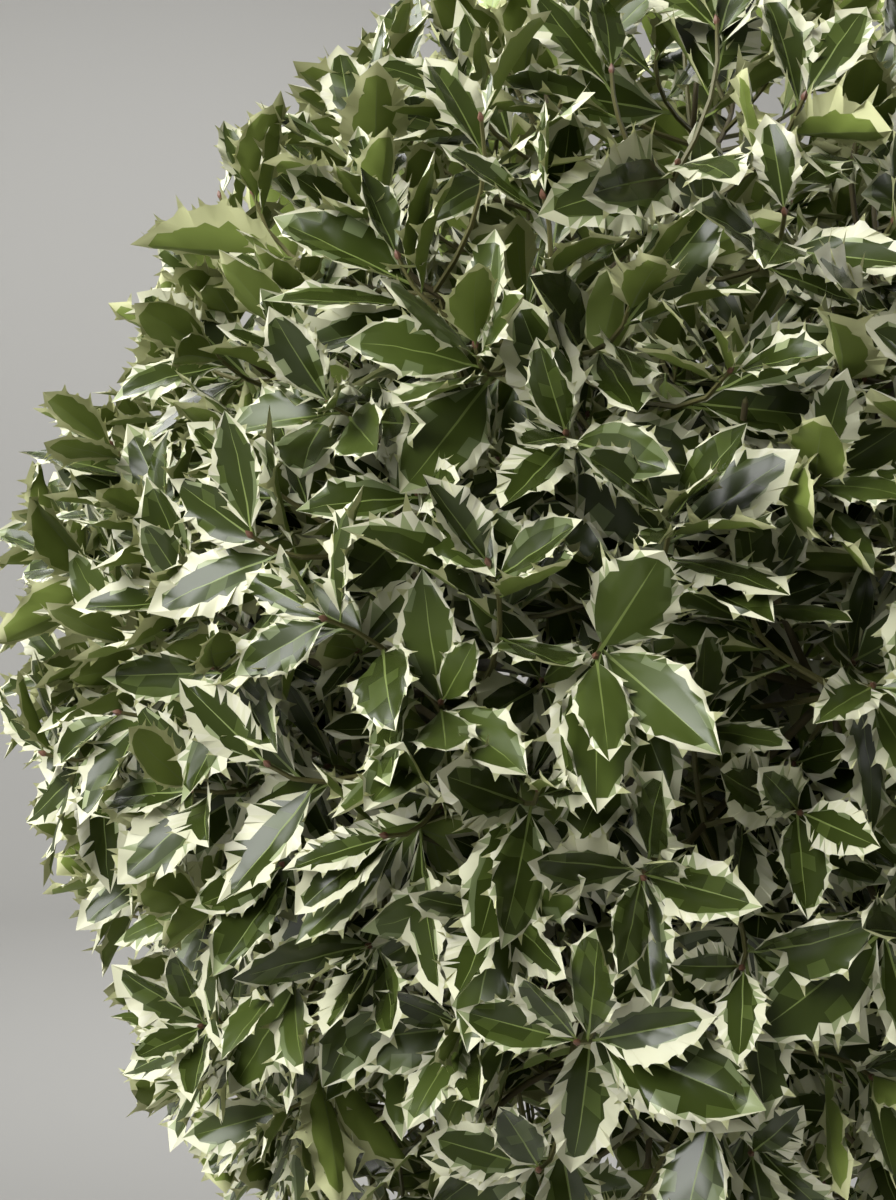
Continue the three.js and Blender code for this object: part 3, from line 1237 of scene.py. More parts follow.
    def _edge(self, side: int) -> tuple[list[int], list[tuple[int, int, int]]]:
        """Add the corners of one side's edge and its spines.

        Args:
            side: 1 for the left half and -1 for the right.

        Returns:
            The row of the edge's corners, without its ends, and the three corners of each spine.
        """
        cut = self.cut
        step = (self.LAST_SPINE - self.FIRST_SPINE) / (cut.spines - 1)
        row, spines = [], []
        for number in range(cut.spines):
            place = self.FIRST_SPINE + step * (number + self.SPINE_STRAY * (self._draw() - 0.5))
            wave = self.WAVES[(number + (side > 0)) % 2]
            length = cut.spine * (self.LEAST_SPINE + self.SPINE_SPREAD * self._draw())
            before, after = place - self.BASE_BEHIND * step, place + self.BASE_AHEAD * step
            lift = self.BASE_LIFT * wave
            start = self._on_edge(before, side * (self._half(before) + self.HEEL * length), lift)
            point = place + self.HOOK * length
            tip = self._on_edge(point, side * (self._half(place) + length), self.POINT_LIFT * wave)
            end = self._on_edge(after, side * (self._half(after) + self.TOE * length), lift)
            row += [start, end]
            spines.append((start, tip, end))
            if number < cut.spines - 1:
                for ahead, out in self.BAYS if cut.detailed else self.PLAIN_BAYS:
                    x = place + ahead * step
                    lift = self.BAY_LIFT * wave * (1 - 2 * ahead)
                    row.append(self._on_edge(x, side * (self._half(x) + out * length), lift))
        return row, spines

    def _on_edge(self, x: float, y: float, lift: float) -> int:
        """Add a corner of the blade's edge and return its number. Its station is that of the vein it ends."""
        root = (math.sqrt(self.VEIN_SLANT**2 + 4 * x) - self.VEIN_SLANT) / 2
        return self._corner(root * root, x, y, 0.0, lift)

    def _lay_out(self) -> None:
        """Add every corner and face."""
        tip = self._corner(1.0, self.TIP, 0.0, 0.0, self.TIP_LIFT)
        ends = [self._corner(1.0, self.GREEN_END, 0.0, z) for z in (self.EDGE_THICK, -self.EDGE_THICK)]
        ribs, under_ribs = {}, {}
        for side in (1, -1):
            ribs[side] = self._rib(side, self.RIB_TOP, self.HALF_THICK, ends[0])
            under_ribs[side] = self._rib(side, -self.RIB_TOP, -self.HALF_THICK, ends[1])
            start = ribs[side][1]
            self._side(side, ribs[side][2:-1], under_ribs[side][1:-1], start, ends, tip)
            self._bar((under_ribs[side][0], under_ribs[side][1], start, ribs[side][0]), side > 0)
        for rails, flip in ((ribs, False), (under_ribs, True)):
            for (right, ahead), (left, left_ahead) in zip(pairwise(rails[-1]), pairwise(rails[1])):
                self._bar((right, ahead, left_ahead, left), flip)
        self._bar((ribs[-1][0], ribs[1][0], under_ribs[1][0], under_ribs[-1][0]), False)

    def _bar(self, corners: Sequence[int], flip: bool) -> None:
        """Add two faces of the midrib or the stalk.

        Args:
            corners: The four corners round them.
            flip: Whether they are turned over.
        """
        first, second, third, fourth = corners
        self._face((first, second, third), Tissue.RIB, flip)
        self._face((first, third, fourth), Tissue.RIB, flip)

    def _rib(self, side: int, foot: float, height: float, end: int) -> list[int]:
        """Add one edge of the midrib, from the stalk's root to where the green ends.

        Args:
            side: 1 for the left edge and -1 for the right.
            foot: Half the stalk's thickness, below 0 on the underside.
            height: Half the blade's thickness, below 0 on the underside.
            end: The corner where the green ends.

        Returns:
            The edge's corners.
        """
        half = side * (self.PETIOLE_HALF if foot > 0 else self.UNDER_STALK * self.PETIOLE_HALF)
        start = self._corner(0.0, 0.0, half, foot)
        stalk = [start, self._corner(self.STALK_STATION, self.PETIOLE_END, half, foot)]
        blade = [
            self._corner(s, s, side * self.RIB_HALF * (self.RIB_TAPER - s), height) for s in self.stations
        ]
        return [*stalk, *blade, end]

    def _side(
        self, side: int, rib: list[int], under_rib: list[int], start: int, ends: Sequence[int], tip: int
    ) -> None:
        """Add one half of the blade.

        Args:
            side: 1 for the left half and -1 for the right.
            rib: The corners along the midrib's upper edge, on the blade.
            under_rib: The corners along its lower edge, from the blade's start.
            start: The corner where the blade starts, on the upper side.
            ends: The corners where the green ends, on the upper side and on the underside.
            tip: The corner at the leaf's tip.
        """
        cut, flip = self.cut, side < 0
        edge, spines = self._edge(side)
        outline = [start, *edge, tip]
        rows = [(rib, under_rib), *([self._middle(side)] if cut.detailed else []), self._border(side)]
        marbled = round(self.FLANK_DEAL * cut.marbling)
        flank = (Tissue.MARBLED,) * marbled + (Tissue.HEART,) * (self.FLANK_DEAL - marbled) + self.FLANK_LIGHT
        end, under_end = ends
        for number, ((inner, under_inner), (outer, under_outer)) in enumerate(pairwise(rows)):
            tissues = flank if number else self.HEART_DEAL
            self._strip([start, *inner, end], [start, *outer, end], tissues, flip)
            first = [] if under_inner is under_rib else [start]
            under = [*first, *under_inner, under_end]
            self._strip(under, [start, *under_outer, under_end], [Tissue.UNDERSIDE], not flip)
        border, under_border = rows[-1]
        self._strip([start, *border, end], outline, self.MARGIN_DEAL, flip, self.TONGUE_DEAL)
        self._strip([start, *under_border, under_end], outline, [Tissue.UNDER_MARGIN], not flip)
        for first, point, last in spines:
            self._face((first, last, point), Tissue.MARGIN, flip)
            self._face((first, last, point), Tissue.UNDER_MARGIN, not flip)


class Habit(Enum):
    """How a leaf's tissues are coloured: for each tissue of its blade the one that shows."""

    MARGINED = {}
    LIGHT = {Tissue.HEART: Tissue.FLANK}
    CREAMY = {Tissue.MARBLED: Tissue.FADED, Tissue.FADED: Tissue.MARGIN}
    YOUNG = {
        Tissue.HEART: Tissue.YOUNG,
        Tissue.FLANK: Tissue.YOUNG,
        Tissue.MARBLED: Tissue.YOUNG,
        Tissue.FADED: Tissue.YOUNG,
        Tissue.MARGIN: Tissue.YOUNG_MARGIN,
        Tissue.IVORY: Tissue.YOUNG_MARGIN,
        Tissue.UNDERSIDE: Tissue.YOUNG,
        Tissue.UNDER_MARGIN: Tissue.YOUNG_MARGIN,
    }

    def colour(self, tissues: np.ndarray) -> np.ndarray:
        """Return the slots that these tissues take on such a leaf."""
        shown = np.array([self.value.get(tissue, tissue) for tissue in Tissue])
        return shown[tissues]


@dataclass(frozen=True)
class Leaf:
    """A leaf in its place.

    Attributes:
        root: Where its stalk starts.
        along: The direction in which it sets out.
        face: The direction out of its upper side.
        size: Its length.
        blade: The number of its kind of blade.
        habit: How it is coloured.
        key: Its own number. It is not used.
    """

    root: np.ndarray
    along: np.ndarray
    face: np.ndarray
    size: float
    blade: int
    habit: Habit
    key: int

    # Places on a leaf that are tested for room, along and across it in leaf lengths, and its usual fold.
    MIDRIB = ((0.38, 0.0), (0.62, 0.0), (0.85, 0.0), (1.03, 0.0))
    PROBES = np.array((*MIDRIB, (0.42, 0.2), (0.42, -0.2), (0.68, 0.17), (0.68, -0.17)))
    FOLD = 0.25

    def probes(self) -> np.ndarray:
        """List the places on this leaf that are tested for room.

        Returns:
            The places, one a row.
        """
        across = np.cross(self.face, self.along)
        ahead, aside = self.PROBES[:, :1], self.PROBES[:, 1:]
        return self.root + self.size * (
            ahead * self.along + aside * across + abs(aside) * self.FOLD * self.face
        )


@dataclass(frozen=True)
class Bends:
    """The least and most that a leaf is bent in each way. Slopes are per leaf length.

    Attributes:
        fold: Slope of the two halves up from the midrib.
        cup: How the halves curve up, or down where it is below 0, towards their edges.
        wave: Height of the waves of the edge.
        curl: Turn in radians of the tip down from the root.
        twist: Turn in radians of the tip about the midrib.
        ripple: Height of the unevenness between the veins, and its waves in a leaf length.
        ripple_slant: How far the ripples lie back towards the edge.
    """

    fold: Span = (0.04, 0.52)
    cup: Span = (-1.2, 0.9)
    wave: Span = (0.022, 0.070)
    curl: Span = (-0.22, 0.48)
    twist: Span = (-0.40, 0.40)
    ripple: Span = (0.0085, 2.7)
    ripple_slant: float = 0.7

    def bent(self, blade: Blade, leaves: Sequence[Leaf]) -> np.ndarray:
        """Bend a blade for each of these leaves and put it in its place.

        Args:
            blade: The blade, laid flat.
            leaves: The leaves that have it.

        Returns:
            The corners of each leaf in turn: leaves by corners by x, y and z.
        """
        dealt = np.random.default_rng([SEED, blade.key])
        spans = (self.fold, self.cup, self.wave, self.curl, self.twist)
        count = len(leaves)
        fold, cup, wave, curl, twist = (dealt.uniform(*span, (count, 1)) for span in spans)
        x, y, z = (blade.points[:, axis][None, :] for axis in range(3))
        out = abs(y)
        height, waves = self.ripple
        start = dealt.uniform(0, 2 * math.pi, (2, count, 1))
        pace = 2 * math.pi * waves
        slanted = pace * (x - self.ripple_slant * out)
        ripple = height * np.sin(slanted + start[0]) * np.cos(pace * y + start[1])
        rise = z + fold * out + cup * out**2 + wave * blade.lift[None, :] + ripple
        beside = y / np.sqrt(1 + fold**2)
        turn = twist * x
        across, above = np.cos(turn), np.sin(turn)
        beside, rise = beside * across - rise * above, beside * above + rise * across
        # The midrib dips by curl times x squared. Its course is the first terms of that bend's series.
        dip = curl * x**2
        ahead = x - curl**2 * x**5 / 10 + rise * np.sin(dip)
        height = curl**3 * x**7 / 42 - curl * x**3 / 3 + rise * np.cos(dip)
        local = np.stack((ahead, beside, height), axis=2)
        along = np.array([leaf.along for leaf in leaves])
        face = np.array([leaf.face for leaf in leaves])
        across = np.cross(face, along)
        axes = np.stack((along, across, face), axis=1)
        sizes = np.array([leaf.size for leaf in leaves])[:, None, None]
        roots = np.array([leaf.root for leaf in leaves])[:, None, :]
        return roots + sizes * np.einsum("lpa,lax->lpx", local, axes)


class Room:
    """Places that are taken, kept in a grid so that crowding is quickly found."""

    AROUND = list(product((-1, 0, 1), repeat=3))

    def __init__(self, gap: float) -> None:
        """Start empty.

        Args:
            gap: The least distance between a new place and those that are taken.
        """
        self.gap = gap
        self.cells: dict[tuple[int, int, int], list[tuple[float, float, float]]] = {}

    def _cell(self, place: Sequence[float]) -> tuple[int, int, int]:
        """Return the grid cell of a place."""
        return tuple(math.floor(value / self.gap) for value in place)

    def free(self, places: np.ndarray) -> bool:
        """Tell whether places are free.

        Args:
            places: The places, one a row.

        Returns:
            True if none of them is within the gap of a taken one.
        """
        limit = self.gap**2
        for x, y, z in places.tolist():
            i, j, k = self._cell((x, y, z))
            for di, dj, dk in self.AROUND:
                for px, py, pz in self.cells.get((i + di, j + dj, k + dk), ()):
                    if (px - x) ** 2 + (py - y) ** 2 + (pz - z) ** 2 < limit:
                        return False
        return True

    def take(self, places: np.ndarray) -> None:
        """Take these places."""
        for place in places.tolist():
            self.cells.setdefault(self._cell(place), []).append(tuple(place))


# ---------------------------------------------------------------- stems, twigs and shoots
# The leaves of the solids, which their twigs leave room for: length, lean in degrees, and the share of it.
SOLID_LEAF = 0.122
SOLID_LEAN = 42
SOLID_SHARE = 0.74


@dataclass(frozen=True)
class Branchlet:
    """A stem, twig or shoot: a thin limb with its girth at both ends.

    Attributes:
        line: Its centre line.
        radii: At its start and at its end.
        sides: Of its section.
        steps: Along it.
        woods: What its skin shows at its start and towards its end.
        direction: Where it makes for, seen from the head's centre.
        key: Its number, which its leaves are dealt by.
        bud: What its end runs out in: distances ahead of it and girths, as shares of its radius there.
    """

    line: Curve
    radii: Span
    sides: int
    steps: int
    woods: tuple[Wood, Wood]
    direction: np.ndarray
    key: int
    bud: tuple[Span, ...] = ((2.2, 0.0),)

    # A direction that hardly any limb sets out in, which its section is turned by.
    ASIDE = (0.3, 0.5, 0.81)

    def add_to(self, heap: Heap) -> None:
        """Add the limb to a heap, as a tube with its bud on its end.

        Args:
            heap: The heap of its mass's wood.
        """
        shares = np.linspace(0, 1, self.steps + 1)
        centres = self.line.at(shares)
        headings = np.array([self.line.heading(share) for share in shares])
        beside = unit(np.cross(headings[0], self.ASIDE))
        angles = 2 * math.pi * np.arange(self.sides) / self.sides
        rings = []
        for centre, heading, share in zip(centres, headings, shares):
            beside = unit(beside - heading * (beside @ heading))
            above = np.cross(heading, beside)
            spokes = np.cos(angles)[:, None] * beside + np.sin(angles)[:, None] * above
            rings.append(centre + lerp(*self.radii, share) * spokes)
        for ahead, girth in self.bud[:-1]:
            rings.append(centres[-1] + self.radii[1] * (ahead * headings[-1] + girth * spokes))
        peak = centres[-1] + headings[-1] * self.radii[1] * self.bud[-1][0]
        points = np.concatenate((*rings, [peak], [centres[0]]))
        ring = np.arange(self.sides)
        after = (ring + 1) % self.sides
        steps = len(rings) - 1
        first = (self.sides * np.arange(steps))[:, None]
        low, low_next = ring + first, after + first
        walls = np.stack((low, low_next, low_next + self.sides, low + self.sides), axis=2).reshape(-1, 4)
        last = self.sides * steps
        end = np.stack((ring + last, after + last, np.full(self.sides, len(points) - 2)), axis=1)
        start = np.stack((after, ring, np.full(self.sides, len(points) - 1)), axis=1)
        young = np.repeat(np.arange(steps) >= self.steps, self.sides)
        heap.add(points, walls, np.where(young, self.woods[1], self.woods[0]))
        caps = np.repeat([self.woods[1], self.woods[0]], self.sides)
        heap.add(np.zeros((0, 3)), np.concatenate((end, start)) - len(points), caps)


@dataclass(frozen=True)
class StemRule:
    """How a mass's stem carries on from what carries the mass.

    Attributes:
        reach: Share of the mass's reach at which it ends.
        bend: How far it holds the direction in which it sets out.
        sunk: How far it goes back inside its carrier.
        start: Its radius there, as a share of the carrier's.
        end: Its radius at its end.
        sides: Of its section.
        steps: Along it.
    """

    reach: float = 0.72
    bend: float = 0.4
    sunk: float = 3 * MM
    start: float = 0.97
    end: float = 1.8 * MM
    sides: int = 10
    steps: int = 10


@dataclass(frozen=True)
class TwigRule:
    """How twigs leave a mass's stem and make for the points of an even lattice over the head.

    Attributes:
        count: Of the lattice's points.
        lowest: Elevation in degrees below which nothing grows.
        leave_spread: Twigs that aim further aside leave the stem sooner,
        leave: between these shares of it.
        room: Share of the head kept between a twig's end and the outline.
        depth_spread: How far the ends are spread in depth.
        lift: How far a twig's end turns up.
        bend: How far its line holds that direction.
        radii: At its start and its end.
        sides: Of its section.
        steps: Along it.
        woods, bud: As in a branchlet.
    """

    count: int = 112
    lowest: float = -72
    leave_spread: float = 1.15
    leave: Span = (0.22, 0.96)
    room: float = SOLID_SHARE * SOLID_LEAF * math.cos(math.radians(SOLID_LEAN)) / HEAD.radius
    depth_spread: float = 0.04
    lift: float = 0.4
    bend: float = 0.42
    radii: Span = (2.4 * MM, 1.6 * MM)
    sides: int = 6
    steps: int = 8
    woods: tuple[Wood, Wood] = (Wood.TWIG, Wood.SHOOT)
    bud: tuple[Span, ...] = ((2.2, 0.0),)


@dataclass(frozen=True)
class ShootRule:
    """How shoots leave the twigs, by a finer lattice of the same kind.

    Attributes:
        count: Of the lattice's points.
        lowest: Elevation in degrees below which nothing grows.
        leave: Between which shares of its twig a shoot leaves.
        room: Share of the head kept between a shoot's end and its mass's reach.
        depth_spread: How far the ends are spread in depth.
        radii: At its start and its end.
        leaves: How many leaves it has.
        detailed: Whether those of its leaves that look to the front are seen close to.
        lift: How far a shoot's end turns up,
        high_lift: how much further towards the head's top,
        low_lift: and how much further where the head turns under.
        stray: How far it turns aside by chance.
        bend: How far its line holds that direction.
        leave_spread: Shoots that aim further aside leave their twig sooner.
        sides: Of its section.
        steps: Along it.
        woods, bud: As in a branchlet.
    """

    count: int
    lowest: float
    leave: Span
    room: float
    depth_spread: float
    radii: Span
    leaves: int
    detailed: bool
    lift: float = 0.38
    high_lift: float = 0.65
    low_lift: float = 0.55
    stray: float = 0.42
    bend: float = 0.42
    leave_spread: float = 2.2
    sides: int = 5
    steps: int = 5
    woods: tuple[Wood, Wood] = (Wood.SHOOT, Wood.SHOOT_TIP)
    bud: tuple[Span, ...] = ((0.5, 1.3), (1.6, 1.6), (3.0, 1.0), (4.4, 0.0))


@dataclass(frozen=True)
class Hollows:
    """The hollows between the clumps of the head, as waves that cross each other.

    Attributes:
        deepest: As a share of the head.
        waves: How many cross.
        pace: Of each wave, in radians over one radius of the head.
        strength: Of the waves together, before they are cut off at the head and at the deepest.
        gap: Elevation and turn in degrees of a gap between two clumps,
        gap_depth: how deep it goes, as a share of the head,
        gap_reach: and the angle in degrees from its middle to its rim.
    """

    deepest: float = 0.15
    waves: int = 5
    pace: float = 9.0
    strength: float = 1.6
    gap: Span = (-26.0, 198.0)
    gap_depth: float = 0.14
    gap_reach: float = 19.0

    def depth(self, direction: np.ndarray) -> float:
        """Find how deep the head is hollowed.

        Args:
            direction: From its centre.

        Returns:
            The depth there, as a share of the head.
        """
        swing = 0.0
        for wave in range(self.waves):
            way = unit(strays(Deal.HOLLOW_WAY, wave))
            start = 2 * math.pi * chance(Deal.HOLLOW_START, wave)
            swing += math.sin(self.pace * float(way @ direction) + start)
        hollow = self.deepest * min(1.0, max(0.0, self.strength * swing / self.waves))
        aside = math.degrees(math.acos(min(1.0, float(direction @ direction_of(*self.gap)))))
        return max(hollow, self.gap_depth * (1 - (aside / self.gap_reach) ** 2))


STEM_RULE = StemRule()
TWIG_RULE = TwigRule()
HOLLOWS = Hollows()
OUTER_SHOOTS = ShootRule(
    count=390,
    lowest=-74,
    leave=(0.35, 1.0),
    room=0.03,
    depth_spread=0.10,
    radii=(1.7 * MM, 1.2 * MM),
    leaves=9,
    detailed=True,
)
INNER_SHOOTS = ShootRule(
    count=330,
    lowest=-70,
    leave=(0.10, 0.5),
    room=0.25,
    depth_spread=0.16,
    radii=(1.6 * MM, 1.1 * MM),
    leaves=7,
    detailed=False,
)


@dataclass(frozen=True)
class LeafRule:
    """How leaves stand round a shoot, from its tip back. Lengths are in metres and angles in degrees.

    Attributes:
        length: Of a grown leaf.
        spread: How much leaves differ in length, as a share of it.
        young: Share of that length that the leaf nearest the tip has.
        first_gap: Between the first two leaves.
        gap_growth: By how much each next gap is larger.
        lean: Out from the shoot, of the leaf nearest the tip and of the furthest.
        erect: The share of these leans that the leaves of an upright shoot have.
        lean_spread: By how much a lean differs.
        turn_up: How far a leaf turns its upper side to the sky.
        first_turn: How far round, in radians, the first leaf may stand.
        turn_spread: By how much a leaf's turn round the shoot differs, in radians.
        roll: By how much it rolls about its midrib, in radians.
        grown_at: The number from the tip of the first leaf that is full grown.
        lean_pace: How fast the lean grows from the tip back.
        uprightness: How much a shoot's own slope counts against chance for erect.
        bare: Share of the shoot, from its start, that has no leaves.
        seat: Of a leaf on its shoot, as a share of the shoot's radius.
        tries: How often a leaf that has no room tries another side and lean.
        try_turn: By how many golden angles a try turns it,
        try_lean: by how many degrees it leans it out,
        try_size: and the share of its length that it keeps.
        overhang: How far a leaf may stand into a neighbour's space,
        past_reach: and past its mass's reach, as a share of the head.
    """

    length: float = 77 * MM
    spread: float = 0.26
    young: float = 0.66
    first_gap: float = 2.5 * MM
    gap_growth: float = 1.4 * MM
    lean: Span = (34.0, 92.0)
    erect: float = 0.50
    lean_spread: float = 16.0
    turn_up: float = 0.12
    first_turn: float = 6.28
    turn_spread: float = 0.5
    roll: float = 0.7
    grown_at: int = 5
    lean_pace: float = 0.7
    uprightness: float = 1.15
    bare: float = 0.12
    seat: float = 0.5
    tries: int = 6
    try_turn: float = 1.6
    try_lean: float = 3.0
    try_size: float = 0.985
    overhang: float = 0.03
    past_reach: float = 0.015


@dataclass(frozen=True)
class BladeRule:
    """The kinds of blade: how many there are, and the least and most of what differs between them.

    Attributes:
        detailed: How many kinds are seen close to. Each lot goes from narrow margins to wide ones.
        plain: How many others there are.
        front: How far back a shoot may point whose leaves are seen close to.
        spines: Fewest on a side,
        more_spines: how many more there may be,
        plain_spines: and how many a plain blade has.
        width, belly, spine, margin, ragged, marbling: As in a cut.
    """

    detailed: int = 14
    plain: int = 6
    front: float = 0.1
    spines: int = 5
    more_spines: float = 1.8
    plain_spines: int = 4
    width: Span = (0.215, 0.268)
    belly: Span = (0.45, 0.55)
    spine: Span = (0.050, 0.084)
    margin: Span = (0.03, 0.42)
    ragged: Span = (0.018, 0.065)
    marbling: Span = (0.05, 0.6)

    def cut(self, number: int) -> Cut:
        """Deal one kind of blade.

        Args:
            number: Of the kind, detailed ones first.

        Returns:
            Its cut.
        """
        detailed = number < self.detailed
        rank = number / self.detailed if detailed else (number - self.detailed) / self.plain
        spines, width, belly, spine, marbling, ragged = (chance(Deal.CUT, number, item) for item in range(6))
        return Cut(
            spines=self.spines + int(self.more_spines * spines) if detailed else self.plain_spines,
            width=lerp(*self.width, width),
            belly=lerp(*self.belly, belly),
            spine=lerp(*self.spine, spine),
            margin=lerp(*self.margin, rank**2),
            ragged=lerp(*self.ragged, ragged),
            marbling=lerp(*self.marbling, marbling),
            detailed=detailed,
        )


@dataclass(frozen=True)
class ColourRule:
    """How leaves get their colouring.

    Attributes:
        young_above: The height in its direction from which a shoot may be young,
        young_share: the share of those shoots that are,
        young_leaves: and how many leaves at their tips.
        creamy: The share of creamy leaves,
        more_creamy: and how much larger it gets towards the pale side.
        pale_side: The side of the head that is paler.
        light_share: Of the shoots whose leaves are a lighter green.
        wide: Deals creamy leaves wide margins, the lower the wider,
        narrow: and the others narrow ones, the higher the narrower.
    """

    young_above: float = 0.86
    young_share: float = 0.4
    young_leaves: int = 3
    creamy: float = 0.10
    more_creamy: float = 0.28
    pale_side: np.ndarray = field(default_factory=lambda: unit(np.array((-1.0, -0.3, -0.5))))
    light_share: float = 0.3
    wide: float = 0.35
    narrow: float = 1.1


LEAF_RULE = LeafRule()
BLADE_RULE = BladeRule()
COLOUR_RULE = ColourRule()
SHORTEST_DEPTH = 1.5 * MM


class Crown:
    """The head: every mass with its stem, twigs, shoots and leaves."""

    LIMB_GAP = 7 * MM
    LEAF_GAP = 7.5 * MM
    LIMB_POINTS = 60
    TRUNK_ROOM, BOUGH_ROOM = 16 * MM, 6 * MM
    PROBED = np.linspace(0, 1, 5)
    LEAF_CREASE, WOOD_CREASE = 50, 60
    # How many keys each layer of shoots has to itself, and each shoot for its leaves.
    KEYS, LEAF_KEYS = 1000, 16
    # Keeps the cross product of a shoot that points straight up from being nothing.
    NUDGE = 0.01

    def __init__(self, trunk: Trunk, boughs: Sequence[Bough]) -> None:
        """Take over the masses from the trunk and its boughs.

        Args:
            trunk: Its tip carries the top mass.
            boughs: Each carries a mass of its own.
        """
        top = Mass("top", UP, 1.0, trunk.line, trunk.tip_radius)
        self.masses = [*(bough.mass() for bough in boughs), top]
        self.directions = np.array([mass.direction for mass in self.masses])
        self.blades = [
            Blade(BLADE_RULE.cut(number), number) for number in range(BLADE_RULE.detailed + BLADE_RULE.plain)
        ]
        self.room = Room(self.LEAF_GAP)
        limbs = [trunk.line, *(bough.line for bough in boughs)]
        shares = np.linspace(0, 1, self.LIMB_POINTS)
        self.limb_points = np.concatenate([line.at(shares) for line in limbs])
        self.limb_radii = np.repeat([self.TRUNK_ROOM, *(self.BOUGH_ROOM for _ in boughs)], self.LIMB_POINTS)
        self.heaps = {mass.name: (Heap(), Heap()) for mass in self.masses}
        self.leaves: dict[str, list[Leaf]] = {mass.name: [] for mass in self.masses}

    def nearest(self, direction: np.ndarray) -> int:
        """Return the number of the mass whose middle is nearest a direction."""
        return int(np.argmax(self.directions @ direction))

    def in_space(
        self, number: int, points: np.ndarray, overhang: float = -SHORTEST_DEPTH, past: float = 0.0
    ) -> bool:
        """Tell whether points lie in a mass's own space.

        Args:
            number: The mass's number.
            points: The points.
            overhang: How far past its sides they may be.
            past: How far past its reach, as a share of the head.

        Returns:
            True if all of them do.
        """
        mass, arms = self.masses[number], points - HEAD.centre
        if (HEAD.level_of(arms) > mass.reach + past).any():
            return False
        sides = unit(mass.direction - np.delete(self.directions, number, axis=0))
        return bool((arms @ sides.T >= -overhang).all())

    def clear_of_limbs(self, points: np.ndarray) -> bool:
        """Return True if points are clear of the trunk and boughs."""
        gaps = np.linalg.norm(points[:, None] - self.limb_points[None], axis=2)
        return bool((gaps > self.limb_radii + self.LIMB_GAP / 2).all())

    def grow(self) -> None:
        """Grow every mass: its wood first, and then all leaves, the outer ones first."""
        twigs = self._grow_twigs()
        for rule, salt in ((OUTER_SHOOTS, Deal.OUTER_SHOOT), (INNER_SHOOTS, Deal.INNER_SHOOT)):
            for number, shoot in self._grow_shoots(rule, salt, twigs):
                end = self._leaf(number, shoot, rule)
                if end:
                    shoot = replace(shoot, line=shoot.line.before(end))
                    shoot.add_to(self.heaps[self.masses[number].name][1])

    def _grow_twigs(self) -> list[list[Branchlet]]:
        """Grow each mass's stem and twigs.

        Returns:
            The twigs of each mass.
        """
        rule, grown = TWIG_RULE, []
        for number, mass in enumerate(self.masses):
            stem = self._stem(mass)
            stem.add_to(self.heaps[mass.name][1])
            twigs = []
            for key, direction in enumerate(lattice(rule.count)):
                low = direction[2] < math.sin(math.radians(rule.lowest))
                if low or self.nearest(direction) != number:
                    continue
                level = mass.reach - rule.room - rule.depth_spread * chance(Deal.TWIG_DEPTH, key)
                twig = self._sent(rule, stem, direction, level, direction + UP * rule.lift, key)
                if self.in_space(number, twig.line.at(self.PROBED)):
                    twig.add_to(self.heaps[mass.name][1])
                    twigs.append(twig)
            grown.append(twigs)
        return grown

    def _stem(self, mass: Mass) -> Branchlet:
        """Carry on from a mass's bough, or from the trunk.

        Args:
            mass: The mass.

        Returns:
            Its stem.
        """
        rule = STEM_RULE
        along = mass.carrier.heading(1)
        start = mass.carrier.at(1)
        end = HEAD.point(mass.direction, mass.reach * rule.reach)
        bend = start + along * np.linalg.norm(end - start) * rule.bend
        start = start - along * rule.sunk
        return Branchlet(
            line=Curve((start, bend, end)),
            radii=(mass.carrier_radius * rule.start, rule.end),
            sides=rule.sides,
            steps=rule.steps,
            woods=(Wood.STEM, Wood.TWIG),
            direction=mass.direction,
            key=0,
        )

    def _sent(
        self,
        rule: TwigRule | ShootRule,
        carrier: Branchlet,
        direction: np.ndarray,
        level: float,
        way: np.ndarray,
        key: int,
    ) -> Branchlet:
        """Send a twig from a stem, or a shoot from a twig, to a point of its lattice.

        Args:
            rule: Its rule.
            carrier: What it leaves.
            direction: Of the point, from the head's centre.
            level: Of its end in the head.
            way: The direction in which it arrives there.
            key: Its number.

        Returns:
            The twig or shoot.
        """
        aside = math.acos(min(1.0, float(direction @ carrier.direction)))
        leave = min(max(1 - aside * rule.leave_spread, rule.leave[0]), rule.leave[1])
        start, end = carrier.line.at(leave), HEAD.point(direction, level)
        back = unit(way) * np.linalg.norm(end - start) * rule.bend
        line = Curve((start, end - back, end))
        return Branchlet(line, rule.radii, rule.sides, rule.steps, rule.woods, direction, key, rule.bud)

    def _grow_shoots(
        self, rule: ShootRule, salt: int, twigs: Sequence[Sequence[Branchlet]]
    ) -> list[tuple[int, Branchlet]]:
        """Grow the shoots of one layer.

        Args:
            rule: The layer's rule.
            salt: Sets its draws apart from the other layer's.
            twigs: Of each mass.

        Returns:
            Each shoot with its mass's number.
        """
        grown = []
        for key, direction in enumerate(lattice(rule.count)):
            number = self.nearest(direction)
            mass = self.masses[number]
            if direction[2] < math.sin(math.radians(rule.lowest)) or not twigs[number]:
                continue
            twig = max(twigs[number], key=lambda twig: float(twig.direction @ direction))
            level = mass.reach - rule.room - rule.depth_spread * chance(salt, key) - HOLLOWS.depth(direction)
            more_lift = rule.high_lift if direction[2] > 0 else rule.low_lift
            lift = rule.lift + more_lift * abs(direction[2])
            way = direction + UP * lift + rule.stray * strays(salt + 1, key)
            shoot = self._sent(rule, twig, direction, level, way, salt * self.KEYS + key)
            if self.in_space(number, shoot.line.at(self.PROBED)):
                grown.append((number, shoot))
        return grown

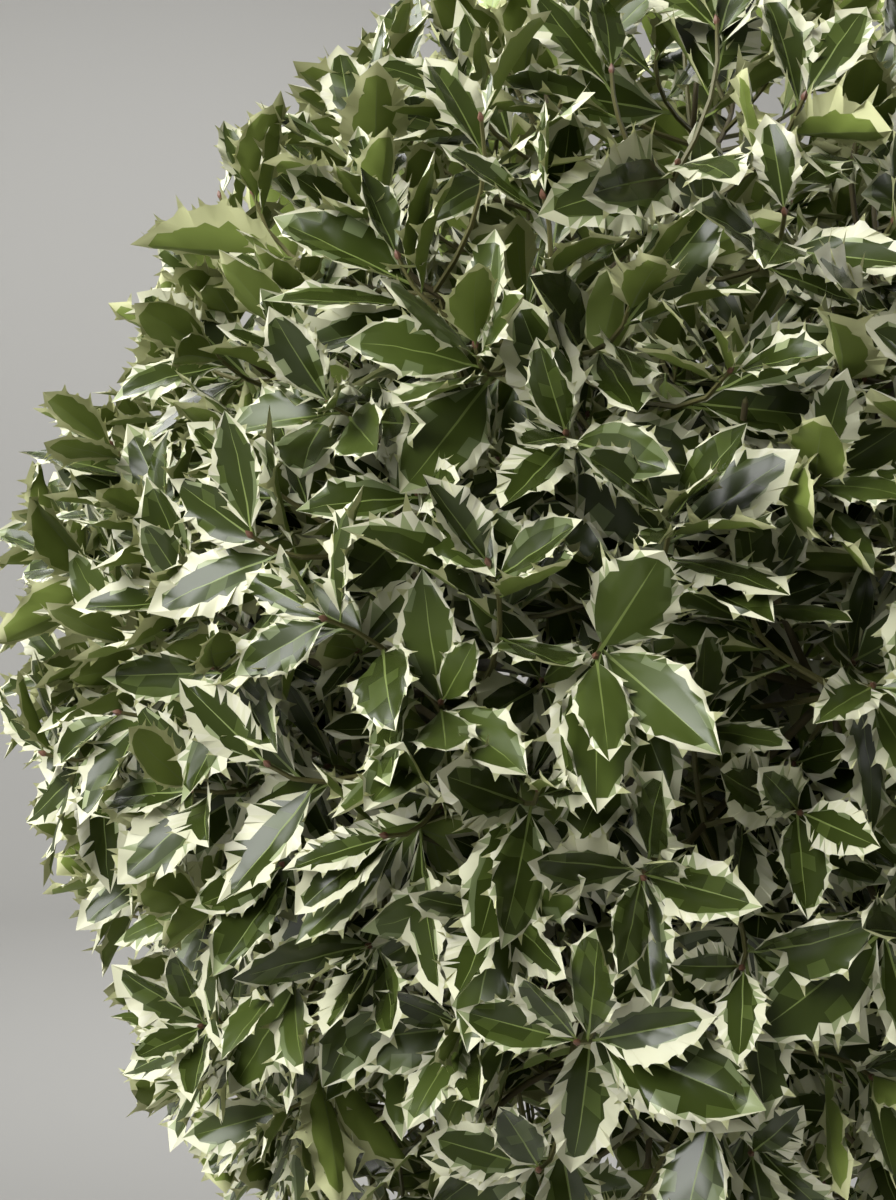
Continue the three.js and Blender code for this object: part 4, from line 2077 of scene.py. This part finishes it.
    def _leaf(self, number: int, shoot: Branchlet, rule: ShootRule) -> float:
        """Stand the leaves of one shoot round it, from its tip back.

        Args:
            number: Its mass's number.
            shoot: The shoot.
            rule: Its layer's rule.

        Returns:
            The share of the shoot at which its outermost leaf stands, or 0 if it has none.
        """
        leaves = self.leaves[self.masses[number].name]
        length = shoot.line.length()
        back = outermost = 0.0
        for item in range(rule.leaves):
            share = 1 - back / length
            if share < LEAF_RULE.bare:
                break
            back += LEAF_RULE.first_gap + LEAF_RULE.gap_growth * item
            for attempt in range(LEAF_RULE.tries):
                leaf = self._leaf_try(shoot, rule, item, share, attempt)
                probes = leaf.probes()
                if (
                    self.in_space(number, probes, LEAF_RULE.overhang, LEAF_RULE.past_reach)
                    and self.clear_of_limbs(probes)
                    and self.room.free(probes)
                ):
                    self.room.take(probes)
                    leaves.append(leaf)
                    outermost = max(outermost, share)
                    break
        return outermost

    def _leaf_try(self, shoot: Branchlet, rule: ShootRule, item: int, share: float, attempt: int) -> Leaf:
        """Return a leaf of a shoot at one try.

        Args:
            shoot: The shoot.
            rule: Its layer's rule.
            item: The leaf's number from the tip.
            share: Where on the shoot it stands.
            attempt: The try's number.

        Returns:
            The leaf.
        """
        grow, key = LEAF_RULE, shoot.key
        ahead = shoot.line.heading(share)
        side = unit(np.cross(ahead, UP + self.NUDGE * shoot.direction))
        turn = GOLDEN_ANGLE * (item + grow.try_turn * attempt)
        turn = turn + grow.first_turn * chance(Deal.FIRST_TURN, key)
        turn = turn + grow.turn_spread * (chance(Deal.TURN, key, item) - 0.5)
        side = turned(side, ahead, turn)
        grown = min(1.0, item / grow.grown_at)
        upright = grow.uprightness * float(shoot.line.heading(1)[2])
        closed = lerp(1.0, grow.erect, max(chance(Deal.CLOSED, key), upright))
        lean = lerp(*grow.lean, (item / (rule.leaves - 1)) ** grow.lean_pace) * closed
        lean = lean + grow.lean_spread * (chance(Deal.LEAN, key, item) - 0.5) + grow.try_lean * attempt
        lean = math.radians(lean)
        along = math.cos(lean) * ahead + math.sin(lean) * side
        face = math.sin(lean) * ahead - math.cos(lean) * side
        face = face + grow.turn_up * UP
        face = unit(face - along * (face @ along))
        face = turned(face, along, grow.roll * (chance(Deal.ROLL, key, item) - 0.5))
        size = grow.length * lerp(grow.young, 1.0, grown)
        size *= 1 + grow.spread * (chance(Deal.LENGTH, key, item) - 0.5)
        size *= grow.try_size**attempt
        detailed = rule.detailed and shoot.direction[1] < BLADE_RULE.front
        kinds = BLADE_RULE.detailed if detailed else BLADE_RULE.plain
        habit = self._habit(shoot, item)
        bias = COLOUR_RULE.wide if habit is Habit.CREAMY else COLOUR_RULE.narrow
        blade = int(kinds * chance(Deal.BLADE, key, item) ** bias) + (0 if detailed else BLADE_RULE.detailed)
        root = shoot.line.at(share) + side * rule.radii[1] * grow.seat
        return Leaf(root, along, face, size, blade, habit, key * self.LEAF_KEYS + item)

    def _habit(self, shoot: Branchlet, item: int) -> Habit:
        """Deal a leaf its colouring: by shoot, with young leaves on the highest shoots' tips.

        Args:
            shoot: The shoot.
            item: The leaf's number from the tip.

        Returns:
            Its colouring.
        """
        rule = COLOUR_RULE
        high = shoot.direction[2] > rule.young_above and item < rule.young_leaves
        if high and chance(Deal.YOUNG, shoot.key) < rule.young_share:
            return Habit.YOUNG
        pale = max(0.0, float(shoot.direction @ rule.pale_side))
        if chance(Deal.HABIT, shoot.key, item) < rule.creamy + rule.more_creamy * pale:
            return Habit.CREAMY
        return Habit.LIGHT if chance(Deal.LIGHT, shoot.key) < rule.light_share else Habit.MARGINED

    def build(self) -> list[tuple[Mass, Thing, Thing]]:
        """Join each mass's leaves into one mesh and its wood into another.

        Returns:
            Each mass with its leaves and its twigs.
        """
        tissues = [TISSUES[tissue].material() for tissue in Tissue]
        woods = [WOODS[wood].material() for wood in Wood]
        bends = Bends()
        for blade in self.blades:
            everyone = ((name, leaf) for name, leaves in self.leaves.items() for leaf in leaves)
            owners = [(name, leaf) for name, leaf in everyone if leaf.blade == blade.key]
            if not owners:
                continue
            corners = bends.bent(blade, [leaf for _, leaf in owners])
            for (name, leaf), points in zip(owners, corners):
                self.heaps[name][0].add(points, blade.faces, leaf.habit.colour(blade.tissues))
        built = []
        for mass in self.masses:
            leaves, wood = self.heaps[mass.name]
            foliage = leaves.joined(f"leaves_{mass.name}", tissues, self.LEAF_CREASE)
            built.append((mass, foliage, wood.joined(f"twigs_{mass.name}", woods, self.WOOD_CREASE)))
        return built

    def dress(self, built: Sequence[tuple[Mass, Thing, Thing]]) -> None:
        """Put the leaves and twigs of every mass, as they were built, in the tree."""
        for mass, leaves, twigs in built:
            install(leaves, [f"foliage_{mass.name}"])
            install(twigs, [f"foliage_{mass.name}"])


# ---------------------------------------------------------------- studio
@dataclass(frozen=True)
class Softbox:
    """A square soft light.

    Attributes:
        name: The light's name.
        place: Its middle.
        aim: The point that it looks at.
        size: Of a side.
        watts: Its power.
    """

    name: str
    place: tuple[float, float, float]
    aim: tuple[float, float, float]
    size: float
    watts: float

    def build(self) -> None:
        """Hang the light."""
        lamp = bpy.data.lights.new(self.name, "AREA")
        lamp.shape, lamp.size, lamp.energy = "SQUARE", self.size, self.watts
        light = bpy.data.objects.new(self.name, lamp)
        light.location = self.place
        way = Vector(self.aim) - light.location
        light.rotation_euler = way.to_track_quat("-Z", "Y").to_euler()
        light.visible_camera = False
        bpy.context.scene.collection.objects.link(light)


@dataclass
class Studio:
    """A plain pale floor that curves up into a wall all round, soft light, and the camera.

    Attributes:
        floor_radius: Of the flat floor.
        cove_radius: Of the curve from the floor to the wall.
        wall_top: The wall's height over the curve's foot.
        sides: Of the floor.
        steps: Of the curve.
        colour: Of the paint, sRGB hex.
        roughness: Of the paint.
        ambient: Strength of the even light.
        air: Its linear colour.
        eye: Where the camera stands.
        focal_px: Its focal length, in pixels of a frame that is
        frame_px: this high.
        film: Its film's height in millimetres.
        lights: The soft lights.
    """

    floor_radius: float = 7.0
    cove_radius: float = 2.0
    wall_top: float = 6.5
    sides: int = 96
    steps: int = 14
    colour: str = "#b5b4b1"
    roughness: float = 0.9
    ambient: float = 0.175
    air: tuple[float, float, float, float] = (1.0, 0.99, 0.88, 1.0)
    eye: tuple[float, float, float] = (-0.141, -1.20, 1.383)
    focal_px: float = 1810.0
    frame_px: float = 1200.0
    film: float = 36.0
    lights: tuple[Softbox, ...] = (
        Softbox("key", (-2.1, -2.25, 3.0), (0.0, 0.0, 1.4), 2.2, 174.0),
        Softbox("top", (-1.6, 0.5, 3.2), (0.0, 0.0, 1.5), 1.8, 70.0),
        Softbox("side", (-3.2, -0.3, 2.6), (0.0, 0.0, 1.4), 2.0, 16.0),
        Softbox("back", (2.9, 1.1, 2.4), (0.0, 0.0, 1.4), 2.0, 60.0),
        Softbox("wall_wash", (-0.5, 2.4, 3.4), (-0.5, 8.0, 4.1), 2.5, 150.0),
        Softbox("floor_wash", (-1.0, 5.6, 4.6), (-1.0, 7.4, 0.0), 2.5, 70.0),
        Softbox("left_wash", (-3.4, 0.6, 3.6), (-9.0, 1.6, 3.0), 2.5, 150.0),
        Softbox("rear_wash", (2.2, -3.0, 3.6), (6.0, -8.0, 3.0), 2.5, 60.0),
    )

    def build(self) -> None:
        """Build the floor, the light and the camera."""
        self._cove()
        for light in self.lights:
            light.build()
        self._sky()
        self._camera()

    def _cove(self) -> None:
        """Spin the floor and wall from a disc, and give them a matt paint."""
        bpy.ops.object.select_all(action="DESELECT")
        bpy.ops.mesh.primitive_circle_add(vertices=self.sides, radius=self.floor_radius, fill_type="NGON")
        cove = bpy.context.object
        cove.name = "studio_cove"
        bpy.ops.object.mode_set(mode="EDIT")
        bpy.ops.mesh.select_all(action="SELECT")
        height, radius = 0.0, self.floor_radius
        angles = (math.pi / 2 * step / self.steps for step in range(1, self.steps + 1))
        profile = [
            (self.cove_radius * (1 - math.cos(angle)), self.floor_radius + self.cove_radius * math.sin(angle))
            for angle in angles
        ]
        profile.append((self.wall_top, self.floor_radius + self.cove_radius))
        bpy.ops.mesh.select_mode(type="EDGE")
        bpy.ops.mesh.region_to_loop()
        for next_height, next_radius in profile:
            bpy.ops.mesh.extrude_region_move(TRANSFORM_OT_translate={"value": (0, 0, next_height - height)})
            scale = next_radius / radius
            bpy.ops.transform.resize(value=(scale, scale, 1), center_override=(0, 0, next_height))
            height, radius = next_height, next_radius
        bpy.ops.mesh.select_all(action="SELECT")
        bpy.ops.mesh.normals_make_consistent(inside=True)
        bpy.ops.object.mode_set(mode="OBJECT")
        bpy.ops.object.shade_smooth()
        paint, tree = new_material("studio_matt_paint")
        add_shader(tree, {"Base Color": linear(self.colour), "Roughness": self.roughness})
        cove.data.materials.append(paint)

    def _sky(self) -> None:
        """Fill the room with even light."""
        world = bpy.data.worlds.new("studio_air")
        world.use_nodes = True
        tree = world.node_tree
        tree.nodes.clear()
        air = add_node(tree, "ShaderNodeBackground", {"Color": self.air, "Strength": self.ambient})
        add_node(tree, "ShaderNodeOutputWorld", {"Surface": air.outputs[0]})
        bpy.context.scene.world = world
        bpy.context.scene.view_settings.view_transform = "Standard"

    def _camera(self) -> None:
        """Stand the camera level, looking along +Y."""
        lens = bpy.data.cameras.new("camera")
        lens.lens = self.focal_px * self.film / self.frame_px
        lens.sensor_width = self.film
        camera = bpy.data.objects.new("camera", lens)
        camera.location = self.eye
        camera.rotation_euler = (math.pi / 2, 0, 0)
        bpy.context.scene.collection.objects.link(camera)
        bpy.context.scene.camera = camera


def main() -> None:
    """Build the studio and the tree, from the trunk out to the leaves."""
    logging.basicConfig(level=logging.INFO, format="%(message)s")
    Studio().build()
    bark = Bark().material()
    trunk = Trunk()
    trunk.dress(trunk.build(), bark)
    boughs = [Bough(tier, number, trunk) for tier in TIERS for number in range(len(tier.leaves))]
    for bough in boughs:
        bough.dress(bough.build(), bark)
    crown = Crown(trunk, boughs)
    crown.grow()
    crown.dress(crown.build())


if __name__ == "__main__":
    main()
